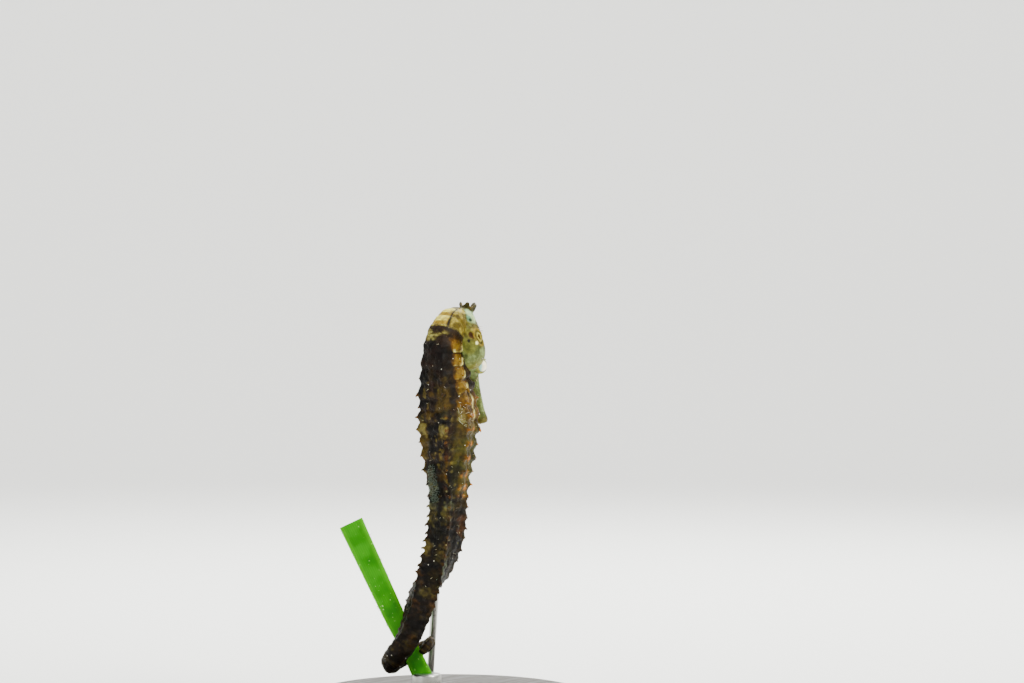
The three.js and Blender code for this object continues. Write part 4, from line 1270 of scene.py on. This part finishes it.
def wood_material(grain_colour):
    """Close-grained wood stained black and rubbed with wax: the grain shows only as faint lines in
    the sheen."""
    material, tree, shader, where = new_material("ebonised_waxed_wood")
    along_grain = {"Vector": where, "Scale": (0.06, 1.0, 1.0)}
    stretched = add(tree, "ShaderNodeMapping", along_grain).outputs[0]
    grain = noise(tree, stretched, 0.9, 4.0)
    colour = blended(tree, ranged(tree, grain, 0.35, 0.65), rgba("#120e0b"), grain_colour)
    tree.links.new(colour, shader.inputs["Base Color"])
    tree.links.new(ranged(tree, grain, 0.3, 0.7, 0.3, 0.45), shader.inputs["Roughness"])
    bumped(tree, shader, grain, 0.02)
    set_values(shader, Specular_IOR_Level=0.2, Coat_Weight=0.05, Coat_Roughness=0.25)
    return material


def steel_material():
    """Turned stainless steel, brushed by hand, which blurs what it mirrors."""
    material, tree, shader, where = new_material("hand_brushed_steel")
    fine = noise(tree, where, 0.3, 2.0)
    tree.links.new(ranged(tree, fine, 0.3, 0.7, 0.26, 0.4), shader.inputs["Roughness"])
    set_values(shader, Metallic=1.0, Base_Color=rgba("#a9a9a4"))
    return material


def floor_material(wall_colour):
    """Matt pale paint on a studio's floor and walls, which shows no highlight."""
    material, _, shader, _ = new_material("matt_pale_paint")
    set_values(shader, Roughness=0.85, Base_Color=wall_colour)
    return material


# ---- small pieces on the skin -------------------------------------------------------------------


def patch_map(mesh, roots):
    """Gives each of many like small forms its own patch of the map named OFBake, 0.003 across at
    its root's place on an unwrap of the body: along it one way and round it the other. roots
    holds the share along and the share round, from 0 to 1."""
    patch = 0.003
    count = len(roots)
    loops = len(mesh.loops) // count
    turn = full_turn(loops)
    spread = 0.5 * patch * np.stack([np.cos(turn), np.sin(turn)], -1)
    centre = 0.5 * patch + (1 - patch) * np.asarray(roots)
    uv = centre[:, None] + spread[None]
    layer_map = mesh.uv_layers.new(name="OFBake")
    layer_map.data.foreach_set("uv", uv.astype(np.float32).ravel())


def body_surface(ring, degrees):
    """Points on the body's surface, and the outward and forward directions there."""
    ring, angle = np.asarray(ring, float), np.radians(degrees)
    point, forward, back, side = body_frame(along_at_ring(ring))
    out = np.cos(angle)[:, None] * back + np.sin(angle)[:, None] * side
    radius = body_profile(ring, angle)
    radius = radius + body_relief(ring, angle, radius)
    return point + radius[:, None] * out, out, forward


LAST_SPINED_RING = 27  # from here on the tail is smooth
SPINE_ROOT = 0.3  # how deep a spine starts in the skin
THREAD_ROOT = 0.1  # the same for a filament
HEAD_ROOT_AT = 0.05  # where the head's small forms lie along the bake map

# The spines of the face: their place by the head's own directions, and how tall they are.
FACE_SPINES = [
    (12.4, 2.6, 0.0, 1.3), (11.9, 2.3, 2.4, 1.2), (11.9, 2.3, -2.4, 1.2), (8.8, -1.2, 5.5, 0.6),
    (8.8, -1.2, -5.5, 0.6), (9.5, -5.3, 2.6, 0.7), (9.5, -5.3, -2.6, 0.7),
]  # fmt: skip


def body_roots(ring, degrees):
    """The share along the body and the share round it, for each small form's bake patch."""
    return np.stack([along_at_ring(ring) / BODY_LENGTH, (degrees % 360) / 360], -1)


def spine_grids(generator):
    """The spines: one at each crossing of a ring's ridge with a ridge of the body, every third the
    longest, hooked towards the tail, and fading where the tail grips; with those of the face."""
    trunk_ring, trunk_ridge = np.meshgrid(
        np.arange(TRUNK_RINGS), np.arange(len(TRUNK_RIDGES)), indexing="ij"
    )
    ridges = trunk_ridges(trunk_ring[:, 0] + CREST_AT)
    degrees = np.degrees(np.arctan2(ridges[..., 1], ridges[..., 0]))
    tail_ring, tail_ridge = np.meshgrid(
        np.arange(TRUNK_RINGS, LAST_SPINED_RING), np.arange(len(TAIL_RIDGE_ANGLES)), indexing="ij"
    )
    ring = np.append(trunk_ring.ravel(), tail_ring.ravel()) + CREST_AT
    angle = np.append(degrees.ravel(), np.degrees(TAIL_RIDGE_ANGLES)[tail_ridge].ravel())
    trunk_share = np.where(trunk_ridge.ravel() == KEEL, KEEL_SHARE, 1)
    fade = 1 - ease(20, LAST_SPINED_RING, tail_ring.ravel())
    share = np.append(trunk_share, np.where(tail_ridge.ravel() < 2, 1, BELLY_SHARE) * fade)
    in_trunk = ring < TRUNK_RINGS
    tall = ring_tall(ring, np.where(in_trunk, 0, TRUNK_RINGS))
    grown = np.where(in_trunk, shoulder_grown(ring), 1)
    length = 0.42 * tall * share * grown * generator.uniform(0.35, 1.35, len(ring))
    keep = (length > 0.15) & ~((ring < 4) & (np.abs(angle) > 120))
    ring, angle, length = ring[keep], angle[keep], length[keep]
    foot, out, forward = body_surface(ring, angle)
    lean = out + (0.15 + 0.45 * generator.random(len(ring)))[:, None] * forward
    lean = lean + 0.3 * generator.normal(size=lean.shape)
    foot = foot - SPINE_ROOT * out
    thick = 0.26 + 0.2 * length
    grids = thorn(foot, lean, forward, length + SPINE_ROOT, thick, hook=0.3, blunt=0.45)
    for along, up, out_by, tall_by in FACE_SPINES:
        foot = on_head(along, up, out_by)
        way = HEAD_UP * np.sign(up) + SIDE_AXIS * out_by / 5
        grid = thorn(foot - SPINE_ROOT * unit(way), way, HEAD_AXIS, tall_by, 0.42, hook=0.2)
        grids = np.concatenate([grids, grid])
    face_roots = np.tile([HEAD_ROOT_AT, 0.5], (len(FACE_SPINES), 1))
    return grids, np.vstack([body_roots(ring, angle), face_roots])


def thread(foot, along, side, length, radius, hook):
    """A thorn so thin that few corners do."""
    return thorn(foot, along, side, length, radius, hook=hook, rows=5, around=5, blunt=0.4)


def thread_grids(generator, count):
    """Skin filaments: thin tapered threads that stand off the body and curl. Most are scattered,
    and about a fifth make a long loose tuft on each flank at the middle of the trunk."""
    tuft = generator.random(count) < 0.22
    ring = np.where(tuft, generator.normal(5.4, 0.55, count), generator.uniform(-2.4, 26, count))
    in_tuft = generator.normal(66, 11, count) * (1 - 2 * (generator.random(count) < 0.5))
    angle = np.where(tuft, in_tuft, generator.uniform(-180, 180, count))
    foot, out, forward = body_surface(ring, angle)
    lean = out + mix(0.5, 1.1, tuft)[:, None] * generator.normal(size=out.shape) + 0.3 * forward
    length = generator.uniform(0.35, 0.9, count) * mix(1, 2.2, tuft)
    length = length * (1 - 0.5 * ease(18, 26, ring))
    side = np.cross(out, forward) * np.sign(generator.normal(size=count))[:, None] + forward
    thick = 0.045 + 0.02 * length
    grids = thread(foot - THREAD_ROOT * out, lean, side, length, thick, 0.6)
    return grids, body_roots(ring, angle)


def head_thread_grids(generator, count):
    """The same threads on the skull, the cheeks and the snout's edges."""
    along = generator.uniform(1, 27, count)
    turn = generator.uniform(-2.2, 2.2, count)
    middle, above, below, half = head_measures(along)
    reach = np.where(np.cos(turn) > 0, above, below)
    foot = on_head(along, middle + reach * np.cos(turn), half * np.sin(turn))
    out = np.cos(turn)[:, None] * HEAD_UP + np.sin(turn)[:, None] * SIDE_AXIS
    lean = out + 0.4 * generator.normal(size=out.shape)
    length = generator.uniform(0.5, 1.1, count) * (1 - 0.45 * ease(14, 18, along))
    thick = 0.05 + 0.03 * length
    grids = thread(foot - THREAD_ROOT * out, lean, HEAD_AXIS + 0 * out, length, thick, 0.4)
    return grids, np.stack([HEAD_ROOT_AT + 0 * along, (turn % FULL_TURN) / FULL_TURN], -1)


def small_forms_mesh(name, grids, roots):
    """One mesh of many like small forms, with their patches of the bake map."""
    shells = [grid_shell(grid) for grid in grids]
    points, faces = join_shells(shells)
    mesh = make_mesh(name, points, faces)
    patch_map(mesh, roots)
    return mesh, points


# ---- eyes ---------------------------------------------------------------------------------------


def eye_mesh(name, sign):
    """An eyeball: a ball whose front swells a little over the pupil. Each point knows how many
    degrees it lies off the direction of gaze, and which thread of the iris it is on."""
    centre = on_head(EYE_ALONG, EYE_UP, sign * EYE_OUT)
    gaze = unit(np.array([1.0, sign * 0.45, 0.0]))
    off = np.linspace(0.5, 179.5, 90)
    angle = full_turn(96)
    radius = EYE_RADIUS * (0.985 + 0.02 * (1 - ease(15, 50, off)))
    profile = np.stack([radius * np.cos(np.radians(off)), radius * np.sin(np.radians(off))], -1)
    grid = aim(lathe(profile, len(angle)), centre, gaze, HEAD_AXIS)
    points, faces = grid_shell(grid)
    mesh = make_mesh(name, points, faces)
    off_all = np.append(np.repeat(off, len(angle)), [0, 180])
    threads = 0.5 + 0.3 * np.sin(23 * angle) + 0.2 * np.sin(41 * angle + 1.3)
    set_attribute(mesh, "gaze", off_all)
    set_attribute(mesh, "thread", np.append(np.tile(threads, len(off)), [0.5, 0.5]))
    return mesh


# ---- fins ---------------------------------------------------------------------------------------


def fin_mesh(name, root_at, edge_at, thick_way, rays, across=14):
    """A fin: a sheet from a root line to a free edge, thickest along its rays, which fan out
    between the two and end in low scallops. thick_way is the direction of its thickness."""
    share = np.linspace(0, 1, rays * 8 + 1)
    reach = np.linspace(0, 1, across)
    at_ray = bell((share * rays) % 1 - 0.5, 0.2)
    notch = 0.03 * (1 - at_ray)
    root, edge = root_at(share), edge_at(share)
    out = reach[None, :, None] * (1 - notch)[:, None, None]
    sheet = root[:, None] + (edge - root)[:, None] * out
    ripple = 0.12 * np.sin(FULL_TURN * share * 2.3)[:, None] * reach[None] ** 2
    half = mix(0.07, 0.03, reach)[None] * (0.85 + 0.3 * at_ray[:, None])
    front = sheet + (ripple + half)[..., None] * thick_way
    rear = sheet + (ripple - half)[..., None] * thick_way
    points, faces = grid_shell(np.concatenate([front, rear[:, ::-1]], axis=1))
    mesh = make_mesh(name, points, faces)
    along_ray = np.repeat(at_ray[:, None], 2 * across, 1).ravel()
    set_attribute(mesh, "ray", np.append(along_ray, [0.5, 0.5]))
    return mesh


DORSAL_FIN_RINGS = (9.1, 12.0)
DORSAL_FIN_HEIGHT, DORSAL_FIN_RAYS = 3.1, 17
ROOT_SINK = 0.35  # how deep a fin's root lies in the skin


def in_body(ring, up):
    """Points on the middle plane of the body, up off its midline."""
    point, _, back, _ = body_frame(along_at_ring(ring))
    return point + np.asarray(up)[..., None] * back


def dorsal_fin_mesh():
    """The fin low on the back that drives the animal: a fan as high as a root of a sine arch."""

    def back(ring):
        return (0.41 - 0.08 * ease(8.5, TRUNK_RINGS, ring)) * trunk_depth(ring)[..., 0]

    def root(share):
        ring = mix(*DORSAL_FIN_RINGS, share)
        return in_body(ring, back(ring) - ROOT_SINK - 0.3)

    def edge(share):
        ring = mix(*DORSAL_FIN_RINGS, share) + 0.2
        rise = DORSAL_FIN_HEIGHT * np.sin(math.pi * (0.12 + 0.78 * share)) ** 0.6
        return in_body(ring, back(ring) + 0.7 + rise)

    return fin_mesh("dorsal_fin_membrane", root, edge, SIDE_AXIS, DORSAL_FIN_RAYS)


def anal_fin_mesh():
    """The tiny fin under the end of the trunk: a fan as high as the middle of a sine arch."""

    def belly(ring):
        return (0.5 - 0.12 * ease(8.5, TRUNK_RINGS, ring)) * trunk_depth(ring)[..., 0]

    def root(share):
        ring = 10.2 + 0.6 * share
        return in_body(ring, ROOT_SINK - belly(ring))

    def edge(share):
        ring = 10.3 + share
        return in_body(ring, -belly(ring) - 0.9 - 1.5 * np.sin(math.pi * (0.2 + 0.6 * share)))

    return fin_mesh("anal_fin_membrane", root, edge, SIDE_AXIS, 4)


def pectoral_fin_mesh(name, sign):
    """The fan behind a gill cover, laid back along the shoulder: its rays turn evenly from one
    end of its root line to the other. The root line lies in the shoulder's skin, ROOT_SINK
    deep."""
    top, foot = np.array([0.6, 4.6, 94.6]), np.array([1.5, 5.3, 90.6])
    skin_beside = 3.9  # how far to the side the skin lies along the root line

    def root(share):
        line = mix(top, foot, share[:, None])
        line[:, 1] = skin_beside - ROOT_SINK
        return line * [1, sign, 1]

    def edge(share):
        angle = np.radians(mix(140, 215, share))
        reach = 2.9 * (0.8 + 0.2 * np.sin(math.pi * share))
        way = np.stack([np.cos(angle), 0.34 + 0 * angle, np.sin(angle)], -1)
        return (mix(top, foot, share[:, None]) + reach[:, None] * way) * [1, sign, 1]

    return fin_mesh(name, root, edge, SIDE_AXIS, 13)


# ---- seagrass -----------------------------------------------------------------------------------

blade_half_width = track([[-10, 2.5], [-3, 2.35], [0, 2.2], [4, 2.3], [9, 2.6], [36, 3.1]])
BLADE_VEINS = 11


def blade_bow(along):
    """How far the leaf bows away above the tail's turn: by the square of the way along it."""
    return -0.0016 * np.clip(along - 6, 0, None) ** 2


def blade_mesh():
    """The leaf: a thin lens in section that bows away as it rises, ribbed by its veins."""
    along = np.linspace(BLADE_BOTTOM, BLADE_TOP, 160)[:, None]
    turn = full_turn(128)[None]
    across = np.cos(turn) + 0 * along
    face = np.sign(np.sin(turn)) * np.abs(np.sin(turn)) ** 0.8
    vein = bell((across * BLADE_VEINS / 2) % 1 - 0.5, 0.22)
    near = blade_bow(along) + face * (BLADE_THICK / 2 - 0.05 * vein)
    wide = across * blade_half_width(along)[..., 0]
    points, faces = grid_shell(on_blade(wide, along + 0 * turn, near))
    mesh = make_mesh("seagrass_leaf", points, faces)
    set_attribute(mesh, "across", np.append(across.ravel(), [0, 0]))
    set_attribute(mesh, "vein", np.append(vein.ravel(), [0, 0]))
    return mesh


def blade_hair_grids(generator, count):
    """Tiny pale hairs along the leaf's two edges."""
    along = generator.uniform(BLADE_BOTTOM + 6, BLADE_TOP - 0.5, count)
    sign = np.where(generator.random(count) < 0.5, -1.0, 1.0)
    foot = on_blade(sign * (blade_half_width(along)[:, 0] - 0.05), along, blade_bow(along))
    way = sign[:, None] * BLADE_WIDE + 0.5 * generator.normal(size=(count, 3))
    length = generator.uniform(0.25, 0.55, count)
    thick = 0.05 + 0 * length
    grids = thorn(foot, way, BLADE_AXIS + 0 * foot, length, thick, rows=4, around=5, blunt=0.5)
    roots = np.stack([(along - BLADE_BOTTOM) / (BLADE_TOP - BLADE_BOTTOM), 0.5 + 0.4 * sign], -1)
    return grids, roots


# ---- the stand ----------------------------------------------------------------------------------


def rounded_profile(radius, bottom, top, edge, steps=7):
    """The half outline of a disc with rounded upper and lower edges, as rows [height, radius]."""
    turn = np.linspace(0, math.pi / 2, steps)
    lower = np.stack([bottom + edge * (1 - np.cos(turn)), radius - edge * (1 - np.sin(turn))], -1)
    upper = np.stack([top - edge * (1 - np.sin(turn)), radius - edge * (1 - np.cos(turn))], -1)
    return [[bottom, 0.05], *lower.tolist(), *upper.tolist(), [top, 0.05]]


def base_mesh():
    """The turned base: a disc with soft edges and a fine groove round its side."""
    profile = rounded_profile(BASE_RADIUS, 0.0, BASE_HEIGHT, 0.8)
    middle = len(profile) // 2
    groove = [[2.0, BASE_RADIUS], [2.25, BASE_RADIUS - 0.3], [2.5, BASE_RADIUS]]
    profile = profile[:middle] + groove + profile[middle:]
    points, faces = grid_shell(lathe(profile, 192))
    return crisp(make_mesh("display_base", points, faces))


def crisp(mesh):
    """Keeps flat faces flat beside rounded ones, by leaving edges over 30 degrees sharp."""
    mesh.set_sharp_from_angle(angle=math.radians(30))
    return mesh


def post_mesh():
    """The socket that the leaf stands in: a turned collar with a rounded rim."""
    foot = on_blade(0, (BASE_HEIGHT + 2 - BLADE_HEART[1]) / math.cos(BLADE_TILT), 0)
    bottom = BASE_HEIGHT
    profile = rounded_profile(POST_RADIUS, bottom, bottom + NODE_GAP + POST_HEIGHT, 0.6)
    grid = lathe(profile, 72) + [foot[0], foot[1], 0]
    return crisp(make_mesh("leaf_socket", *grid_shell(grid)))


def rod_mesh():
    """The rod that holds the tail from behind: a straight wire from the base to the tail's skin."""
    foot, top = place(*ROD_FOOT, BASE_HEIGHT - 0.2), place(*ROD_TOP)
    share = np.linspace(0, 1, 400)
    line = mix(foot, top, share[:, None])
    spots = Spots(line)
    inside = spots.reach < spots.girth - 0.5
    top = line[np.argmax(inside)] if inside.any() else top
    length = np.linalg.norm(top - foot)
    profile = [[0, ROD_RADIUS], [length - 0.1, ROD_RADIUS], [length, ROD_RADIUS - 0.1]]
    grid = aim(lathe(profile, 32), foot, top - foot, ACROSS)
    return crisp(make_mesh("tail_rod", *grid_shell(grid)))


# ---- what a user can change ---------------------------------------------------------------------


class AnimalSettings(bpy.types.PropertyGroup):
    """Sizes of the animal's own fine parts."""

    skin_cell: bpy.props.FloatProperty(
        name="Skin cell", description="Size of one face of the skin", default=0.00024,
        min=0.0002, max=0.001, precision=5, unit="LENGTH",
    )  # fmt: skip
    thread_count: bpy.props.IntProperty(
        name="Body threads",
        description="How many skin filaments grow on the body",
        default=200,
        min=10,
    )
    head_thread_count: bpy.props.IntProperty(
        name="Head threads",
        description="How many skin filaments grow on the head",
        default=60,
        min=10,
    )
    iris_colour: bpy.props.FloatVectorProperty(
        name="Iris", description="Colour of the iris's bright threads", default=rgba("#fff6d8"),
        subtype="COLOR", size=4,
    )  # fmt: skip
    fin_colour: bpy.props.FloatVectorProperty(
        name="Fin rays",
        description="Colour of the fins' rays",
        default=rgba("#5d6a58"),
        subtype="COLOR",
        size=4,
    )


class PerchSettings(bpy.types.PropertyGroup):
    """The seagrass's hairs, and the colours of the leaf and the stand."""

    hair_count: bpy.props.IntProperty(
        name="Edge hairs",
        description="How many fine hairs line the leaf's edges",
        default=110,
        min=10,
    )
    leaf_colour: bpy.props.FloatVectorProperty(
        name="Leaf", description="Colour of the leaf's lighter patches", default=rgba("#338e02"),
        subtype="COLOR", size=4,
    )  # fmt: skip
    wood_colour: bpy.props.FloatVectorProperty(
        name="Wood", description="Colour of the base's lighter grain", default=rgba("#2a211a"),
        subtype="COLOR", size=4,
    )  # fmt: skip


class StudioSettings(bpy.types.PropertyGroup):
    """The camera, the walls and the lights."""

    wall_colour: bpy.props.FloatVectorProperty(
        name="Walls", description="Colour of the floor and the walls", default=rgba("#f3f3f0"),
        subtype="COLOR", size=4,
    )  # fmt: skip
    camera_distance: bpy.props.FloatProperty(
        name="Camera distance",
        description="From the camera to the animal",
        default=0.6,
        unit="LENGTH",
    )
    lens: bpy.props.FloatProperty(
        name="Lens", description="Focal length of the camera", default=84.375, unit="CAMERA"
    )
    key_power: bpy.props.FloatProperty(
        name="Key light", description="Power of the main soft light", default=4.2, unit="POWER"
    )
    fill_power: bpy.props.FloatProperty(
        name="Fill light",
        description="Power of the soft light opposite it",
        default=0.8,
        unit="POWER",
    )
    top_power: bpy.props.FloatProperty(
        name="Top light",
        description="Power of the wide light over the floor",
        default=9.0,
        unit="POWER",
    )
    wall_power: bpy.props.FloatProperty(
        name="Wall light",
        description="Power of the light on the wall behind",
        default=19.0,
        unit="POWER",
    )
    rim_power: bpy.props.FloatProperty(
        name="Rim light", description="Power of the light from behind", default=4.0, unit="POWER"
    )
    air_light: bpy.props.FloatProperty(
        name="Air light", description="Strength of the light from all round", default=0.38, min=0
    )


# ---- operators ----------------------------------------------------------------------------------


class BuildSkin(bpy.types.Operator):
    """One skin over all of the flesh, from the crown to the tail's tip"""

    bl_idname = "seahorse.build_skin"
    bl_label = "Skin"

    def execute(self, context):
        cell = context.scene.seahorse_animal.skin_cell / METRES
        points, faces, spots = skin_surface(cell)
        mesh = make_mesh("seahorse_skin", points, faces)
        set_attribute(mesh, "paint", skin_colour(spots))
        tails = [f"tail_{k}" for k in range(1, 8)]
        nodes = ["head", "snout", "neck", "trunk_upper", "trunk_lower", "gill_cover_right",
                 "gill_cover_left", "coronet", "tail_tip", *tails]  # fmt: skip
        show("seahorse_skin", mesh, skin_material(), "skin", *nodes)
        return {"FINISHED"}


class BuildSpines(bpy.types.Operator):
    """The bony spines of the rings and the face"""

    bl_idname = "seahorse.build_spines"
    bl_label = "Spines"

    def execute(self, context):
        grids, roots = spine_grids(np.random.default_rng(12))
        mesh, points = small_forms_mesh("ridge_spines", grids, roots)
        spots = Spots(points)
        tall = np.clip((spots.reach - spots.girth - 0.2) / 0.9, 0, 1)
        colour = skin_colour(spots)
        tip = deepened(mix(tone("#a07438"), tone("#8f5a34"), mottle(points, 2.5, 9)[:, None]))
        bright = ease(95, 115, np.abs(np.degrees(spots.angle))) * ease(4, 6, spots.ring)
        tip = mix(tip, tone("#c8782c"), bright[:, None])
        tip = mix(tip, tone("#1c120c"), ease(11, 14, spots.ring)[:, None] * 0.8)
        share = mix(0.25, 0.8, ease(0.45, 0.6, mottle(points, 5, 19))) * tall * (1 - spots.head)
        set_attribute(mesh, "paint", mix(colour, tip, share[:, None]))
        show("ridge_spines", mesh, bpy.data.materials["wet_skin_over_bone"], "skin")
        return {"FINISHED"}


class BuildThreads(bpy.types.Operator):
    """The thin filaments that grow from the skin"""

    bl_idname = "seahorse.build_threads"
    bl_label = "Skin filaments"

    def execute(self, context):
        settings = context.scene.seahorse_animal
        generator = np.random.default_rng(5)
        body, body_roots = thread_grids(generator, settings.thread_count)
        head, head_roots = head_thread_grids(generator, settings.head_thread_count)
        grids, roots = np.concatenate([body, head]), np.vstack([body_roots, head_roots])
        mesh, _ = small_forms_mesh("skin_filaments", grids, roots)
        show("skin_filaments", mesh, filament_material(), "skin")
        return {"FINISHED"}


class BuildEyes(bpy.types.Operator):
    """The two eyes"""

    bl_idname = "seahorse.build_eyes"
    bl_label = "Eyes"

    def execute(self, context):
        material = eye_material(context.scene.seahorse_animal.iris_colour)
        for side, sign in SIDES.items():
            name = f"eyeball_{side}"
            show(name, eye_mesh(name, sign), material, "eye", f"eye_{side}")
        return {"FINISHED"}


class BuildFins(bpy.types.Operator):
    """The dorsal, anal and pectoral fins"""

    bl_idname = "seahorse.build_fins"
    bl_label = "Fins"

    def execute(self, context):
        material = fin_material(context.scene.seahorse_animal.fin_colour)
        show("dorsal_fin_membrane", dorsal_fin_mesh(), material, "fin", "dorsal_fin")
        show("anal_fin_membrane", anal_fin_mesh(), material, "fin", "anal_fin")
        for side, sign in SIDES.items():
            name = f"pectoral_fin_{side}_membrane"
            show(name, pectoral_fin_mesh(name, sign), material, "fin", f"pectoral_fin_{side}")
        return {"FINISHED"}


class BuildSeagrass(bpy.types.Operator):
    """The leaf that the tail holds, and the hairs on its edges"""

    bl_idname = "seahorse.build_seagrass"
    bl_label = "Seagrass"

    def execute(self, context):
        settings = context.scene.seahorse_perch
        leaf = blade_material(settings.leaf_colour)
        show("seagrass_leaf", blade_mesh(), leaf, "blade", "perch_blade")
        grids, roots = blade_hair_grids(np.random.default_rng(8), settings.hair_count)
        mesh, _ = small_forms_mesh("leaf_edge_hairs", grids, roots)
        show("leaf_edge_hairs", mesh, filament_material(), "blade")
        return {"FINISHED"}


class BuildStand(bpy.types.Operator):
    """The turned base, the leaf's socket and the rod behind the tail"""

    bl_idname = "seahorse.build_stand"
    bl_label = "Stand"

    def execute(self, context):
        wood = wood_material(context.scene.seahorse_perch.wood_colour)
        show("display_base", base_mesh(), wood, "stand_wood", "stand_base")
        steel = steel_material()
        show("leaf_socket", post_mesh(), steel, "stand_steel", "stand_post")
        show("tail_rod", rod_mesh(), steel, "stand_steel", "stand_rod")
        return {"FINISHED"}


CAMERA_TARGET = (16, 0, 93.875)  # across, near and up, in mm
LIT_MIDDLE = (0, 0, 75)  # what the lights face, the same way
FLOOR_RADIUS, COVE_BEND, WALL_HEIGHT = 1000, 500, 1600  # in mm
COVE_SIDES = 128
WHITE_LIGHT = (1.0, 1.0, 1.0)


def soft_light(name, spot, target, size, power, colour):
    """A square area light that faces a target, both in metres."""
    light = bpy.data.lights.new(name, "AREA")
    light.shape, light.size, light.energy, light.color = "SQUARE", size, power, colour
    holder = bpy.data.objects.new(name, light)
    bpy.context.scene.collection.objects.link(holder)
    holder.location = spot
    turn_to(holder, target)


def turn_to(holder, target):
    """Turns a light or a camera to face a point."""
    way = Vector(target) - Vector(holder.location)
    holder.rotation_euler = way.to_track_quat("-Z", "Y").to_euler()


class BuildStudio(bpy.types.Operator):
    """The pale round studio, its soft lights and the camera"""

    bl_idname = "seahorse.build_studio"
    bl_label = "Studio"

    def execute(self, context):
        settings = context.scene.seahorse_studio
        turn = np.linspace(0, math.pi / 2, 12)
        cove = np.stack(
            [COVE_BEND * (1 - np.cos(turn)), FLOOR_RADIUS + COVE_BEND * np.sin(turn)], -1
        )
        wall_top = [WALL_HEIGHT, FLOOR_RADIUS + COVE_BEND]
        profile = [[0, 0.5], [0, 400], [0, 800], *cove.tolist(), wall_top]
        points, faces = grid_shell(lathe(profile, COVE_SIDES))
        faces = faces[:-COVE_SIDES]  # the outer end stays open to the sky
        mesh = make_mesh("studio_cove", points, faces[:, ::-1][:, [3, 0, 1, 2]])
        mesh.materials.append(floor_material(settings.wall_colour))
        cove_object = bpy.data.objects.new("studio_cove", mesh)
        context.scene.collection.objects.link(cove_object)

        target = place(*CAMERA_TARGET) * METRES
        sight = place(0, 1, 0)
        camera = bpy.data.cameras.new("camera")
        camera.lens, camera.sensor_width, camera.clip_start = settings.lens, 36.0, 0.01
        holder = bpy.data.objects.new("camera", camera)
        context.scene.collection.objects.link(holder)
        holder.location = target + settings.camera_distance * sight
        turn_to(holder, target)
        context.scene.camera = holder

        right, middle = ACROSS, place(*LIT_MIDDLE) * METRES
        key = middle + 0.40 * right + 0.26 * sight + 0.38 * UP_AXIS
        fill = middle - 0.50 * right + 0.40 * sight + 0.12 * UP_AXIS
        wall = middle - 0.15 * sight + 0.7 * UP_AXIS
        rim = middle + 0.15 * right - 0.45 * sight + 0.42 * UP_AXIS
        lit_wall = middle - 1.2 * sight
        soft_light("key_light", key, middle, 0.22, settings.key_power, (1.0, 0.97, 0.9))
        soft_light("fill_light", fill, middle, 0.4, settings.fill_power, (0.93, 0.98, 1.0))
        soft_light("top_light", 1.35 * UP_AXIS, middle, 1.3, settings.top_power, WHITE_LIGHT)
        soft_light("wall_light", wall, lit_wall, 0.5, settings.wall_power, WHITE_LIGHT)
        soft_light("rim_light", rim, middle, 0.2, settings.rim_power, (0.95, 1.0, 0.93))
        world = bpy.data.worlds.new("studio_air")
        world.use_nodes = True
        background = world.node_tree.nodes["Background"]
        background.inputs["Color"].default_value = rgba("#eef0ee")
        background.inputs["Strength"].default_value = settings.air_light
        context.scene.world = world
        return {"FINISHED"}


OPERATORS = (
    BuildSkin, BuildSpines, BuildThreads, BuildEyes, BuildFins, BuildSeagrass, BuildStand,
    BuildStudio,
)  # fmt: skip
SETTINGS = {
    "seahorse_animal": AnimalSettings,
    "seahorse_perch": PerchSettings,
    "seahorse_studio": StudioSettings,
}


class SeahorsePanel(bpy.types.Panel):
    """Lists the settings and the pieces"""

    bl_idname = "VIEW3D_PT_seahorse"
    bl_label = "Seahorse"
    bl_space_type = "VIEW_3D"
    bl_region_type = "UI"
    bl_category = "Seahorse"

    def draw(self, context):
        for name, group in SETTINGS.items():
            box = self.layout.box()
            for setting in group.__annotations__:
                box.prop(getattr(context.scene, name), setting)
        for operator in OPERATORS:
            self.layout.operator(operator.bl_idname)


def register():
    for kind in (*SETTINGS.values(), *OPERATORS, SeahorsePanel):
        bpy.utils.register_class(kind)
    for name, group in SETTINGS.items():
        setattr(bpy.types.Scene, name, bpy.props.PointerProperty(type=group))


def unregister():
    for name in SETTINGS:
        delattr(bpy.types.Scene, name)
    for kind in (SeahorsePanel, *reversed(OPERATORS), *SETTINGS.values()):
        bpy.utils.unregister_class(kind)


def main():
    """Builds every piece in order."""
    register()
    bpy.ops.seahorse.build_skin()
    bpy.ops.seahorse.build_spines()
    bpy.ops.seahorse.build_threads()
    bpy.ops.seahorse.build_eyes()
    bpy.ops.seahorse.build_fins()
    bpy.ops.seahorse.build_seagrass()
    bpy.ops.seahorse.build_stand()
    bpy.ops.seahorse.build_studio()
    bpy.context.view_layer.update()


if __name__ == "__main__":
    main()
